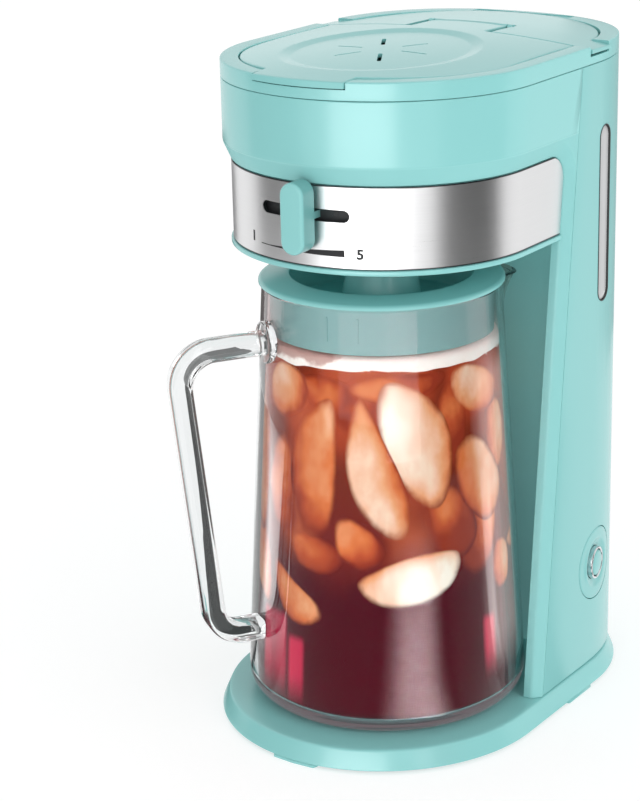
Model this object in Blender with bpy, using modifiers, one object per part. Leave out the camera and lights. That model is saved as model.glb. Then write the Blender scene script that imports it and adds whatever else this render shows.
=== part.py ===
# Iced tea maker: a countertop brewer with a jug, two hinged top lids and a strength lever.
# Metres, +Z up. The front faces -Y, the floor is z = 0, and the machine is alike left and right.
# The jug stands on the base under the brewing head; its handle turns a third of the way out.

import bpy
import bmesh
from math import asin, atan, cos, hypot, pi, radians, sin, sqrt
from mathutils import Matrix, Vector

# Clearances and common walls
seat_gap = 0.0003          # between two fixed pieces that touch
running_gap = 0.0006       # between a moving piece and its neighbour
shell_wall = 0.0024        # moulded housings
cut_overrun = 0.02         # how far a cutter passes the face it cuts
merge_distance = 0.00001
shell_side = -1.0           # a shell's wall grows inwards

# Plan of the machine's body, seen from above: an elliptic nose, straight sides, a full tail
body_half_width = 0.0803
nose_centre_y = 0.0032
nose_reach = 0.0772
tail_centre_y = 0.0660
tail_reach = 0.0790
tail_fullness_share = 2.3

# Plan of the base skirt at its foot
base_half_width = 0.0852
base_nose_centre_y = -0.0024
base_nose_reach = 0.0877
base_tail_centre_y = 0.0703
base_tail_reach = 0.0809
base_tail_fullness_share = 2.0

# The jug's upright line
jug_centre_y = -0.0024

# Levels
foot_lift = 0.0020          # the skirt's edge over the floor
base_top_z = 0.0115
jug_floor_z = base_top_z + seat_gap
rim_top_z = 0.3380
rim_height = 0.0086
head_height = 0.0907        # from the head's lowest edge to the rim's top
lip_height = 0.0024
band_height = 0.0394
chamfer_height = 0.0091
rim_foot_z = rim_top_z - rim_height
head_foot_z = rim_top_z - head_height
band_foot_z = head_foot_z + lip_height
band_top_z = band_foot_z + band_height
chamfer_top_z = band_top_z + chamfer_height
crown_height = 0.0040       # how far the lids dome over the rim
crown_centre_y = 0.0350
crown_half_length = 0.1120
crown_side_margin = 0.0088
crown_half_width = body_half_width - crown_side_margin
crown_reach_share = 1.5

# The parting line between the front and the rear housing leans back as it climbs
seam_foot_y = 0.0185
seam_lean_share = 0.107
strip_depth = 0.0056        # the column's front faces stand this far ahead of the line
seam_lip = 0.0012
edge_inset = 0.0039         # depth of the chamfer round the head and down the column
strip_inset = 0.0083        # depth at which the column's front faces end
edge_radius = 0.0200
edge_inner_radius = 0.0120

# The bay behind the jug
bay_half_width = body_half_width - strip_inset
bay_back_y = 0.0760
bay_corner_radius = 0.0300

# Base
tray_wall = 0.0024
skirt_batter = 0.0043       # the skirt leans in by this much up to its top edge
skirt_round = 0.0006
cover_thickness = 0.0020
cover_z = 0.0030
pad_radius = 0.0130
pad_edge_inset = 0.0004
pad_centre_inset = 0.0060
pad_side_y = 0.0520
screw_head_radius = 0.0030
screw_head_height = 0.0012
screw_shaft_radius = 0.0014
screw_boss_radius = 0.0036
screw_side_margin = 0.0312
screw_inset_x = base_half_width - screw_side_margin
screw_front_y = -0.0250
screw_rear_y = 0.1180
service_inset = 0.0172      # opening through the tray under the column
service_front_y = 0.0830

# Head
lip_inset = 0.0028
skirt_inset = 0.0047
skirt_wall = 0.0024
skirt_ledge = 0.0120
floor_inset = 0.0086
floor_thickness = 0.0024
band_thickness = 0.0005
slot_half_length = 0.0244
slot_height = 0.0059
slot_rise = 0.0253
slot_z = band_foot_z + slot_rise
slot_clearance = 0.0004

# Strength lever and its knob
knob_width = 0.0123
knob_height = 0.0340
knob_depth = 0.0113
knob_stand_off = 0.0027     # knob's back to the band
knob_edge = 0.0009
neck_height = 0.0034
neck_width = 0.0100
knob_rest_angle = radians(2.3)
lever_thickness = 0.0022
lever_width = 0.0110
lever_leg_thickness = 0.0025
gate_radius = 0.0175
gate_bore = 0.0036
gate_hole_turn = radians(6.0)
lever_leg_gap = 0.0012
pivot_screw_depth = 0.0034
pivot_radius = 0.0030
pivot_rise = 0.0040
outlet_radius = 0.0135
outlet_bore = 0.0040
outlet_drop = 0.0022

# Brewing parts
deck_inset = shell_wall + seat_gap
deck_thickness = 0.0024
deck_drop = 0.0164
deck_z = rim_foot_z - deck_drop
deck_rear_y = 0.0650
basket_side_margin = 0.0208
basket_nose_margin = 0.0121
basket_radius = min(body_half_width - basket_side_margin,
                    jug_centre_y - nose_centre_y + nose_reach - basket_nose_margin)
basket_flange = 0.0030
basket_flange_thickness = 0.0020
basket_taper = 0.0135
basket_foot_radius = basket_radius - basket_taper
basket_floor_rise = 0.0123
basket_floor_z = band_foot_z + basket_floor_rise
basket_wall = 0.0018
basket_hole_radius = 0.0028
basket_hole_ring = 0.0150
basket_hole_count = 8
hole_phase = radians(2.0)
filter_gap = 0.0012
filter_wall = 0.0010
filter_drop = 0.0030
filter_floor_lift = 0.0015
spreader_thickness = 0.0018
spreader_rise = 0.0030
spreader_hole_radius = 0.0022
spreader_hole_rings = ((0.0160, 6), (0.0340, 12))
spreader_grip_radius = 0.0060
spreader_grip_height = 0.0050

# Water parts
tank_side_gap = 0.0010
tank_inset = shell_wall + tank_side_gap
tank_front_y = 0.0872
tank_corner_radius = 0.0100
tank_wall = 0.0020
tank_floor_z = 0.0960
tank_top_gap = 0.0010
tank_top_z = rim_foot_z - tank_top_gap
valve_x = 0.0280
valve_y = 0.1080
valve_bore = 0.0050
valve_flange_radius = 0.0095
valve_flange_height = 0.0020
valve_nozzle_radius = 0.0022
valve_nozzle_wall = 0.0013
valve_nozzle_drop = 0.0120
hose_radius = 0.0035
hose_bend = 0.0070
hose_crossing = 0.0630      # height over the heater at which the riser reaches the middle
hose_y = 0.0826
heater_tube_radius = 0.0065
heater_z = 0.0300
heater_half_spread = 0.0280
heater_front_y = 0.0920
heater_bend_y = 0.1000
heater_stand_radius = 0.0040
thermostat_radius = 0.0080
thermostat_height = 0.0060
fuse_radius = 0.0022
fuse_length = 0.0140
spout_radius = 0.0040
spout_wall = 0.0012
spout_rise = 0.0125
spout_z = deck_z + spout_rise
spout_tip_y = 0.0480

# Level window and power button on the right side
window_y = 0.0790
window_drop = 0.0324
window_length = 0.0895
window_top_z = rim_foot_z - window_drop
window_foot_z = window_top_z - window_length
window_width = 0.0118
window_proud = 0.0006
window_turn = radians(4.7)
button_y = 0.0765
button_z = 0.0655
button_turn = radians(8.6)
surround_radius = 0.0193
surround_thickness = 0.0045
dish_radius = 0.0127
dish_depth = 0.0012
dish_lift = -0.0006
bezel_radius = 0.0086
bezel_wall = 0.0013
bezel_proud = 0.0006
bezel_depth = 0.0060
button_radius = 0.0068
button_travel = 0.0016
button_proud = 0.0010
button_crown = 0.0007
button_stem_radius = 0.0030
switch_length = 0.0075
switch_width = 0.0110
switch_ahead = 0.0015
switch_height = 0.0160
bush_z = 0.0300
bush_radius = 0.0060
bush_bore = 0.0036
bush_flange = 0.0085
bush_flange_thickness = 0.0016
bush_tail = 0.0040

# Lids, rim and hinges
rim_width = 0.0090
rim_round = 0.0008
rim_skirt_gap = 0.0004
rim_skirt = shell_wall + rim_skirt_gap
rim_ledge_drop = 0.0042
rim_ledge_z = rim_top_z - rim_ledge_drop
rim_ledge_thickness = 0.0024
rim_ledge_width = 0.0030
lid_gap = 0.0007
lid_rear_gap = 0.0010
lid_wall = 0.0024
lid_foot_z = rim_ledge_z + seat_gap
lid_seam_y = 0.0615
front_tab_half_width = 0.0252
front_tab_thickness = 0.0030
front_tab_proud = 0.0007
tongue_half_width = 0.0212
lug_width = 0.0027
front_hinge_y = 0.0845
front_hinge_rise = 0.0013
front_hinge_z = rim_top_z + front_hinge_rise
front_barrel_radius = 0.0021
pin_radius = 0.0010
pin_gap = 0.00008
bar_half_depth = 0.0040
bar_thickness = 0.0034
rear_hinge_y = 0.1362
rear_hinge_drop = 0.0034
rear_hinge_z = rim_top_z - rear_hinge_drop
rear_barrel_radius = 0.0034
rear_hinge_half_width = 0.0290
rear_pin_radius = 0.0014
rear_pin_reach = 0.0040
side_tab_front_y = 0.0619
side_tab_rear_y = 0.0812
side_tab_proud = 0.0007
side_tab_thickness = 0.0034
dish_centre_y = 0.0005
dish_side_margin = 0.0333
dish_half_width = body_half_width - dish_side_margin
dish_half_length = 0.0540
dish_slope = 0.0065
dish_recess = 0.0014
dish_floor_thickness = 0.0018
vent_width = 0.0021
vent_inner = 0.0110
vent_outer = 0.0280
vent_line_width = 0.0007
vent_line_depth = 0.0005
vent_count = 6
vent_through = (2, 5)

# Jug
jug_wall = 0.0030
jug_floor_thickness = 0.0045
jug_foot_taper = 0.0114
jug_round = 0.0120
jug_widest_z = 0.0250
jug_side_margin = 0.0089
jug_bay_gap = 0.0070
jug_widest_radius = min(body_half_width - jug_side_margin, bay_back_y - jug_centre_y - jug_bay_gap)
jug_foot_radius = jug_widest_radius - jug_foot_taper
jug_top_gap = 0.0197        # from the jug's rim up to the head's lowest edge
jug_top_z = head_foot_z - jug_top_gap
jug_taper = 0.0122
jug_top_radius = jug_widest_radius - jug_taper
spout_turn = radians(56.8)
spout_reach = 0.0135
spout_half_angle = radians(26.0)
spout_droop = 0.0030
spout_height = 0.0326
spout_foot_z = jug_top_z - spout_height
handle_turn = radians(236.8)
handle_thickness = 0.0106
handle_width = 0.0140
handle_chamfer = 0.0028
handle_arm_drop = 0.0246
handle_arm_z = jug_top_z - handle_arm_drop
handle_foot_z = 0.0542
handle_stand_off_top = 0.0374
handle_stand_off_foot = 0.0219
handle_reach_top = jug_widest_radius + handle_stand_off_top
handle_reach_foot = jug_widest_radius + handle_stand_off_foot
handle_corner_top = 0.0170
handle_corner_foot = 0.0150
handle_pad_radius = 0.0105
handle_pad_thickness = 0.0030
jug_lid_overhang = 0.0016
jug_lid_radius = jug_top_radius + jug_lid_overhang
jug_lid_rise = 0.0027
jug_lid_z = jug_top_z + jug_lid_rise
jug_lid_border = 0.0138
jug_lid_well_radius = jug_top_radius - jug_lid_border
jug_lid_bead = 0.0016
jug_lid_well_top_z = jug_lid_z + jug_lid_bead
jug_lid_well_taper = 0.0014
jug_lid_well_foot_radius = jug_lid_well_radius - jug_lid_well_taper
jug_lid_well_depth = 0.0159
jug_lid_well_z = jug_lid_well_top_z - jug_lid_well_depth
jug_bands = 1
jug_lip_bands = 4
jug_lid_wall = 0.0020
jug_lid_skirt_depth = 0.0231
jug_lid_skirt_foot_z = jug_top_z - jug_lid_skirt_depth
jug_lid_skirt_gap = 0.0009
jug_lid_boss_foot = 0.0205
jug_lid_boss_top = 0.0158
jug_lid_boss_rise = 0.0124
jug_lid_boss_z = jug_top_z + jug_lid_boss_rise
jug_lid_bore = 0.0080

# Mesh fineness
nose_steps = 12
tail_steps = 10
round_steps = 40
small_steps = 14
corner_steps = 5
crown_rings = 8
smooth_angle = radians(32)
edge_angle = radians(60)


def clear_scene():
    for item in list(bpy.data.objects):
        bpy.data.objects.remove(item, do_unlink=True)


def new_collection(name):
    group = bpy.data.collections.new(name)
    bpy.context.scene.collection.children.link(group)
    return group


def finish(name, colour, roughness, metallic=0.0, clear=0.0):
    made = bpy.data.materials.get(name) or bpy.data.materials.new(name)
    made.use_nodes = True
    made.diffuse_color = colour
    shader = made.node_tree.nodes["Principled BSDF"]
    shader.inputs["Base Color"].default_value = colour
    shader.inputs["Roughness"].default_value = roughness
    shader.inputs["Metallic"].default_value = metallic
    shader.inputs["Transmission Weight"].default_value = clear
    return made


def mint():
    return finish("mint_plastic", (0.305, 0.662, 0.640, 1.0), 0.32)


def steel():
    return finish("brushed_steel", (0.72, 0.72, 0.73, 1.0), 0.28, 1.0)


def chrome():
    return finish("chrome", (0.80, 0.80, 0.82, 1.0), 0.08, 1.0)


def clear_plastic():
    return finish("clear_plastic", (0.93, 0.95, 0.95, 1.0), 0.04, 0.0, 1.0)


def dark_plastic():
    return finish("dark_plastic", (0.03, 0.03, 0.035, 1.0), 0.50)


def rubber():
    return finish("grey_rubber", (0.10, 0.11, 0.11, 1.0), 0.75)


def frosted():
    return finish("frosted_plastic", (0.78, 0.79, 0.80, 1.0), 0.35, 0.0, 0.4)


def aluminium():
    return finish("cast_aluminium", (0.62, 0.63, 0.65, 1.0), 0.45, 1.0)


def silicone():
    return finish("silicone", (0.82, 0.80, 0.76, 1.0), 0.55)


def filter_mesh():
    return finish("filter_mesh", (0.55, 0.56, 0.56, 1.0), 0.50)


# Building blocks

def place(name, mesh, material, guide=False):
    item = bpy.data.objects.new(name, mesh)
    if material:
        item.data.materials.append(material)
    if guide:
        guides.objects.link(item)
        item.hide_render = True
        item.display_type = "WIRE"
    else:
        parts.objects.link(item)
    return item


def settle(mesh, sharp=smooth_angle):
    work = bmesh.new()
    work.from_mesh(mesh)
    bmesh.ops.remove_doubles(work, verts=work.verts, dist=merge_distance)
    bmesh.ops.recalc_face_normals(work, faces=work.faces)
    work.to_mesh(mesh)
    work.free()
    mesh.shade_smooth()
    mesh.set_sharp_from_angle(angle=sharp)
    return mesh


def bake(item):
    # turns an object with live modifiers, or a curve, into a plain mesh object
    bpy.context.view_layer.update()
    graph = bpy.context.evaluated_depsgraph_get()
    mesh = bpy.data.meshes.new_from_object(item.evaluated_get(graph))
    name = item.name
    spot = item.matrix_world.copy()
    groups = list(item.users_collection)
    guide = item.hide_render
    bpy.data.objects.remove(item, do_unlink=True)
    solid = bpy.data.objects.new(name, settle(mesh))
    for group in groups:
        group.objects.link(solid)
    solid.matrix_world = spot
    if guide:
        solid.hide_render = True
        solid.display_type = "WIRE"
    return solid


def skin(name, loops, material, ring=False, closed=True, guide=False):
    # a surface through loops that hold equally many points; ring joins the last loop to the first
    count = len(loops[0])
    points = [tuple(point) for loop in loops for point in loop]
    faces = []
    rows = len(loops) if ring else len(loops) - 1
    columns = count if closed else count - 1
    for row in range(rows):
        here = row * count
        there = ((row + 1) % len(loops)) * count
        for column in range(columns):
            beside = (column + 1) % count
            faces.append((here + column, here + beside, there + beside, there + column))
    if closed and not ring:
        faces.append(tuple(range(count)))
        faces.append(tuple(range((len(loops) - 1) * count, len(loops) * count)))
    if ring and not closed:
        faces.append(tuple(row * count for row in range(len(loops))))
        faces.append(tuple(row * count + count - 1 for row in range(len(loops))))
    mesh = bpy.data.meshes.new(name)
    mesh.from_pydata(points, [], faces)
    return place(name, settle(mesh), material, guide)


def turned(name, profile, material, spot=(0, 0, 0), steps=round_steps, guide=False):
    # profile runs down the outer side as (radius, height); it closes itself away from the axis
    points = [(radius, 0, height) for radius, height in profile]
    edges = [(index, index + 1) for index in range(len(points) - 1)]
    if profile[0][0] > 0:
        edges.append((len(points) - 1, 0))
    mesh = bpy.data.meshes.new(name)
    mesh.from_pydata(points, edges, [])
    item = place(name, mesh, material, guide)
    turn = item.modifiers.new("Turn", "SCREW")
    turn.steps = steps
    turn.render_steps = steps
    turn.use_merge_vertices = True
    turn.merge_threshold = merge_distance
    item = bake(item)
    item.location = spot
    return item


def box(name, low, high, material=None, guide=True):
    low = Vector(low)
    high = Vector(high)
    mesh = bpy.data.meshes.new(name)
    work = bmesh.new()
    bmesh.ops.create_cube(work, size=1)
    bmesh.ops.scale(work, vec=high - low, verts=work.verts)
    bmesh.ops.translate(work, vec=(high + low) / 2, verts=work.verts)
    work.to_mesh(mesh)
    work.free()
    return place(name, mesh, material, guide)


def rod(name, radius, start, end, material=None, guide=True, steps=small_steps):
    # a cylinder from one point to another
    start = Vector(start)
    end = Vector(end)
    along = end - start
    mesh = bpy.data.meshes.new(name)
    work = bmesh.new()
    bmesh.ops.create_cone(work, cap_ends=True, segments=steps, radius1=radius, radius2=radius,
                          depth=along.length)
    turn = Vector((0, 0, 1)).rotation_difference(along).to_matrix().to_4x4()
    bmesh.ops.transform(work, matrix=Matrix.Translation((start + end) / 2) @ turn, verts=work.verts)
    work.to_mesh(mesh)
    work.free()
    return place(name, settle(mesh), material, guide)


def plate(name, outline, low, high, material=None, guide=False):
    # a flat outline in X and Y made solid between two levels
    curve = bpy.data.curves.new(name, "CURVE")
    curve.dimensions = "2D"
    curve.fill_mode = "BOTH"
    curve.extrude = (high - low) / 2
    line = curve.splines.new("POLY")
    line.points.add(len(outline) - 1)
    for knot, (x, y) in zip(line.points, outline):
        knot.co = (x, y, 0, 1)
    line.use_cyclic_u = True
    item = place(name, curve, None, guide)
    item = bake(item)
    item.data.transform(Matrix.Translation((0, 0, (high + low) / 2)))
    if material:
        item.data.materials.clear()
        item.data.materials.append(material)
    return item


def tube(name, points, radius, material, resolution=3):
    curve = bpy.data.curves.new(name, "CURVE")
    curve.dimensions = "3D"
    curve.bevel_depth = radius
    curve.bevel_resolution = resolution
    curve.use_fill_caps = True
    line = curve.splines.new("POLY")
    line.points.add(len(points) - 1)
    for knot, point in zip(line.points, points):
        knot.co = (*point, 1)
    curve.materials.append(material)
    return bake(place(name, curve, None))


def shape(target, other, action):
    step = target.modifiers.new(action.title(), "BOOLEAN")
    step.operation = action
    step.solver = "EXACT"
    step.object = other
    return target


def cut(target, *cutters):
    for cutter in cutters:
        shape(target, cutter, "DIFFERENCE")
    return target


def join(target, *others):
    for other in others:
        shape(target, other, "UNION")
    return target


def filleted(corners, radius, steps=corner_steps):
    # a polyline whose inner corners are rounded to one radius
    corners = [Vector(corner) for corner in corners]
    path = [corners[0]]
    for before, corner, after in zip(corners, corners[1:], corners[2:]):
        into = (corner - before).normalized()
        out = (after - corner).normalized()
        turn = into.angle(out)
        centre = corner + (out - into).normalized() * (radius / cos(turn / 2))
        start = centre + (corner - into * radius * sin(turn / 2) / cos(turn / 2) - centre)
        spin = into.cross(out).normalized()
        for step in range(steps + 1):
            arm = Matrix.Rotation(turn * step / steps, 3, spin) @ (start - centre)
            path.append(centre + arm)
    path.append(corners[-1])
    return path


def arc(centre, radius, start, end, steps=corner_steps):
    # points on an arc in two dimensions, both ends included
    sweep = [start + (end - start) * step / steps for step in range(steps + 1)]
    return [(centre[0] + radius * cos(angle), centre[1] + radius * sin(angle)) for angle in sweep]


# Plans and edge lines of the body

def nose_arc(inset, centre_y=nose_centre_y, reach=nose_reach, half_width=body_half_width):
    # from the right side round the front to the left side
    angles = [-pi / 2 * step / nose_steps for step in range(2 * nose_steps + 1)]
    return [((half_width - inset) * cos(angle), centre_y + (reach - inset) * sin(angle))
            for angle in angles]


def tail_arc(inset, centre_y=tail_centre_y, reach=tail_reach, half_width=body_half_width,
             fullness=tail_fullness_share):
    # from the left side round the back to the right side
    points = []
    for step in range(2 * tail_steps + 1):
        angle = pi - pi / 2 * step / tail_steps
        wide = abs(cos(angle)) ** (2 / fullness)
        deep = sin(angle) ** (2 / fullness) if sin(angle) > merge_distance else 0
        points.append(((half_width - inset) * (wide if angle < pi / 2 else -wide),
                       centre_y + (reach - inset) * deep))
    middle = tail_steps
    points[middle] = (0, centre_y + reach - inset)
    return points


def body_plan(inset):
    return nose_arc(inset) + tail_arc(inset)


def base_plan(inset):
    front = nose_arc(inset, base_nose_centre_y, base_nose_reach, base_half_width)
    back = tail_arc(inset, base_tail_centre_y, base_tail_reach, base_half_width,
                    base_tail_fullness_share)
    return front + back


def at_level(outline, level):
    return [(x, y, level) for x, y in outline]


def seam_y(level):
    return seam_foot_y + seam_lean_share * level


def strip_y(level):
    return seam_y(level) - strip_depth


def nose_path(inset, end_y):
    # open line from the right side at end_y round the front to the left side
    half_width = body_half_width - inset
    return [(half_width, end_y)] + nose_arc(inset) + [(-half_width, end_y)]


def tail_path(inset, start_y):
    # open line from the left side at start_y round the back to the right side
    half_width = body_half_width - inset
    return [(-half_width, start_y)] + tail_arc(inset) + [(half_width, start_y)]


def bay_path(offset, start_y):
    # open line from the left side at start_y round the back of the bay to the right side
    half_width = bay_half_width + offset
    radius = bay_corner_radius + offset
    centre_x = bay_half_width - bay_corner_radius
    centre_y = bay_back_y - bay_corner_radius
    left = arc((-centre_x, centre_y), radius, pi, pi / 2)
    right = arc((centre_x, centre_y), radius, pi / 2, 0)
    return [(-half_width, start_y)] + left + right + [(half_width, start_y)]


column_foot_z = base_top_z + seat_gap
column_steps = 4


def edge_line(offset, top, radius):
    # side view of an edge that climbs the column and turns forward under the head
    lean = hypot(1, seam_lean_share)
    centre_z = top - radius
    centre_y = seam_y(centre_z) - offset - radius * lean
    start = -atan(seam_lean_share)
    bend = arc((centre_y, centre_z), radius, start, pi / 2, corner_steps + 3)
    climb = []
    for step in range(column_steps):
        level = column_foot_z + (bend[0][1] - column_foot_z) * step / column_steps
        climb.append((seam_y(level) - offset, level))
    return climb + bend


def outer_border():
    # the front housing's back edge: up the parting line, then forward along its top
    edge = edge_line(seam_lip, chamfer_top_z, edge_radius)
    top = rim_foot_z - seat_gap
    bend = edge[column_steps:]
    border = [(seam_y(level), level) for _, level in edge[:column_steps]]
    half = len(bend) // 2
    foot = bend[0][1]
    for step in range(half):
        level = foot + (top - foot) * step / half
        border.append((seam_y(level), level))
    left = len(bend) - half
    for step in range(left):
        share = step / (left - 1)
        border.append((seam_y(top) + (bend[-1][0] - seam_y(top)) * share, top))
    return border


def around_front(line, inset):
    # a side line on both flanks, joined round the nose at the height where it ends
    half_width = body_half_width - inset
    level = line[-1][1]
    right = [(half_width, y, z) for y, z in line]
    left = [(-half_width, y, z) for y, z in reversed(line)]
    return right + at_level(nose_arc(inset), level) + left


# Housings

def make_front_housing():
    chamfer = edge_line(strip_depth, band_top_z + seat_gap, edge_inner_radius)
    rows = [around_front(outer_border(), 0),
            around_front(edge_line(seam_lip, chamfer_top_z, edge_radius), 0),
            around_front(chamfer, edge_inset),
            around_front(chamfer, strip_inset)]
    item = skin("front_housing", rows, mint(), closed=False)
    wall = item.modifiers.new("Wall", "SOLIDIFY")
    wall.thickness = shell_wall
    wall.offset = shell_side
    wall.use_even_offset = True
    wall.use_quality_normals = True
    return item



def make_rear_housing():
    foot = column_foot_z
    top = rim_foot_z - seat_gap
    loops = []
    for inset, level in ((0, foot), (0, top), (shell_wall, top), (shell_wall, foot)):
        loops.append(at_level(tail_path(inset, seam_y(level) + seat_gap), level))
    item = skin("rear_housing", loops, mint(), ring=True, closed=False)
    cut(item, window_body("window_hole", seat_gap, guide=True))
    cut(item, side_rod("surround_hole", surround_radius + seat_gap, -cut_overrun, cut_overrun))
    bush_hole = rod("bush_hole", bush_radius + seat_gap, (0, tail_end - cut_overrun, bush_z),
                    (0, tail_end + cut_overrun, bush_z))
    return cut(item, bush_hole)


tail_end = tail_centre_y + tail_reach


def make_bay_panel():
    foot = column_foot_z
    top = band_foot_z
    loops = []
    for offset, level in ((0, foot), (0, top), (shell_wall, top), (shell_wall, foot)):
        front = strip_y(level) + shell_wall + seat_gap
        loops.append(at_level(bay_path(offset, front), level))
    return skin("bay_panel", loops, mint(), ring=True, closed=False)


# Base

def make_base():
    foot = foot_lift
    top = base_top_z
    inner = tray_wall
    loops = [at_level(base_plan(skirt_batter + inner), top - inner),
             at_level(base_plan(inner), foot),
             at_level(base_plan(0), foot),
             at_level(base_plan(skirt_round), foot + 2 * skirt_round),
             at_level(base_plan(skirt_batter), top - skirt_round),
             at_level(base_plan(skirt_batter + skirt_round), top)]
    tray = skin("base_tray", loops, mint())
    opening = [point for point in base_plan(service_inset) if point[1] > service_front_y]
    cut(tray, plate("service_opening", opening, foot, top + cut_overrun, guide=True))
    spots = screw_spots()
    for index, (x, y) in enumerate(spots):
        boss = rod(f"boss_{index}", screw_boss_radius, (x, y, cover_top + seat_gap),
                   (x, y, top - inner / 2))
        hole = rod(f"pilot_{index}", screw_shaft_radius + seat_gap, (x, y, foot),
                   (x, y, top - inner - screw_shaft_radius + seat_gap))
        join(tray, boss)
        cut(tray, hole)
    slope = skirt_batter / (top - inner - foot)
    cover_inset = inner + slope * (cover_top - foot) + seat_gap
    cover = plate("base_cover", base_plan(cover_inset), cover_z, cover_top, dark_plastic())
    for index, (x, y) in enumerate(spots):
        hole = rod(f"cover_hole_{index}", screw_shaft_radius + seat_gap,
                   (x, y, cover_z - cut_overrun), (x, y, cover_top + cut_overrun))
        cut(cover, hole)
    return tray, cover


cover_top = cover_z + cover_thickness


def screw_spots():
    return [(x, y) for y in (screw_front_y, screw_rear_y) for x in (screw_inset_x, -screw_inset_x)]


def make_base_screws():
    for index, (x, y) in enumerate(screw_spots()):
        head = cover_z - seat_gap
        profile = [(0, base_top_z - tray_wall - screw_shaft_radius),
                   (screw_shaft_radius, base_top_z - tray_wall - screw_shaft_radius),
                   (screw_shaft_radius, head),
                   (screw_head_radius, head),
                   (screw_head_radius, head - screw_head_height),
                   (0, head - screw_head_height)]
        turned(f"base_screw_{index + 1}", profile, steel(), (x, y, 0), small_steps)


def make_feet():
    # four pads flush with the skirt's edge, right under it
    inset = pad_edge_inset + pad_centre_inset
    spots = {"front": (0, base_nose_centre_y - base_nose_reach + inset),
             "rear": (0, base_tail_centre_y + base_tail_reach - inset),
             "right": (base_half_width - inset, pad_side_y),
             "left": (inset - base_half_width, pad_side_y)}
    for where, (x, y) in spots.items():
        pad = rod(f"base_foot_{where}", pad_radius, (x, y, 0), (x, y, foot_lift - seat_gap), mint(),
                  guide=False, steps=2 * small_steps)
        edge = plate(f"foot_edge_{where}", base_plan(pad_edge_inset), -foot_lift, foot_lift * 2, guide=True)
        shape(pad, edge, "INTERSECT")


# Head

def make_head_skirt():
    top = band_top_z
    ledge_z = band_foot_z
    profile = ((lip_inset, head_foot_z), (lip_inset, ledge_z - skirt_round),
               (skirt_inset, ledge_z), (skirt_inset, top),
               (skirt_inset + skirt_wall, top), (skirt_inset + skirt_wall, ledge_z),
               (skirt_ledge, ledge_z), (skirt_ledge, head_foot_z))
    bend_foot = top - edge_inner_radius
    levels = [bend_foot + edge_inner_radius * sin(pi / 2 * step / corner_steps)
              for step in range(corner_steps)]
    rows = list(profile[:3])
    rows += [(skirt_inset, level) for level in levels]
    rows += list(profile[3:5])
    rows += [(skirt_inset + skirt_wall, level) for level in reversed(levels)]
    rows += list(profile[5:])
    loops = [at_level(nose_path(inset, band_end_y(level)), level) for inset, level in rows]
    item = skin("head_skirt", loops, mint(), ring=True, closed=False)
    return cut(item, slot_body("skirt_slot", slot_clearance))


def band_end_y(level):
    # where the band and the skirt stop against the column, rounded at their top corner
    lean = hypot(1, seam_lean_share)
    centre_z = band_top_z + seat_gap - edge_inner_radius
    straight = strip_y(level) - seat_gap * lean
    if level <= centre_z:
        return straight
    clear = edge_inner_radius - seat_gap
    above = min(level - centre_z, clear)
    centre_y = seam_y(centre_z) - strip_depth - edge_inner_radius * lean
    return min(straight, centre_y + sqrt(clear * clear - above * above))


def slot_body(name, grow=0.0):
    # the lever's slot: a flat round-ended bar across the front of the head
    radius = slot_height / 2 + grow
    reach = slot_half_length - slot_height / 2
    front = nose_centre_y - nose_reach
    outline = arc((reach, 0), radius, -pi / 2, pi / 2) + arc((-reach, 0), radius, pi / 2, 3 * pi / 2)
    item = plate(name, outline, 0, 2 * cut_overrun, guide=True)
    item.data.transform(Matrix.Rotation(pi / 2, 4, "X"))
    item.data.transform(Matrix.Translation((0, front + cut_overrun, slot_z)))
    return item


def make_steel_band():
    foot = band_foot_z + seat_gap
    bend_foot = band_top_z - edge_inner_radius
    levels = [foot] + [bend_foot + edge_inner_radius * sin(pi / 2 * step / corner_steps)
                       for step in range(corner_steps + 1)]
    levels[-1] = band_top_z
    outer = edge_inset
    inner = edge_inset + band_thickness
    rows = [(outer, level) for level in levels] + [(inner, level) for level in reversed(levels)]
    loops = [at_level(nose_path(inset, band_end_y(level)), level) for inset, level in rows]
    item = skin("steel_band", loops, steel(), ring=True, closed=False)
    return cut(item, slot_body("band_slot"))


def head_plan(inset):
    # the head's floor: the nose in front, the bay's round corners behind
    offset = strip_inset - inset
    back = bay_path(offset, bay_back_y - bay_corner_radius)
    return nose_arc(inset) + back[1:-1]


lever_pivot_y = nose_centre_y - (nose_reach - edge_inset) + (
    (body_half_width - edge_inset) ** 2 / (nose_reach - edge_inset))
floor_z = band_foot_z + seat_gap
floor_top = floor_z + floor_thickness
lever_z = floor_top + seat_gap


def make_head_floor():
    item = plate("head_floor", head_plan(floor_inset), floor_z, floor_top, mint())
    pivot = rod("pivot_boss", pivot_radius, (0, lever_pivot_y, floor_z + floor_thickness / 2),
                (0, lever_pivot_y, floor_top + pivot_rise))
    nozzle = rod("nozzle", outlet_radius, (0, jug_centre_y, floor_z - outlet_drop),
                 (0, jug_centre_y, floor_z + floor_thickness / 2), steps=round_steps)
    bore = rod("outlet", outlet_bore, (0, jug_centre_y, floor_z - cut_overrun),
               (0, jug_centre_y, floor_top + cut_overrun / 2))
    screw = rod("pivot_pilot", screw_shaft_radius + seat_gap,
                (0, lever_pivot_y, floor_top), (0, lever_pivot_y, floor_top + cut_overrun))
    return cut(join(item, pivot, nozzle), bore, screw)


# Strength lever

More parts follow.
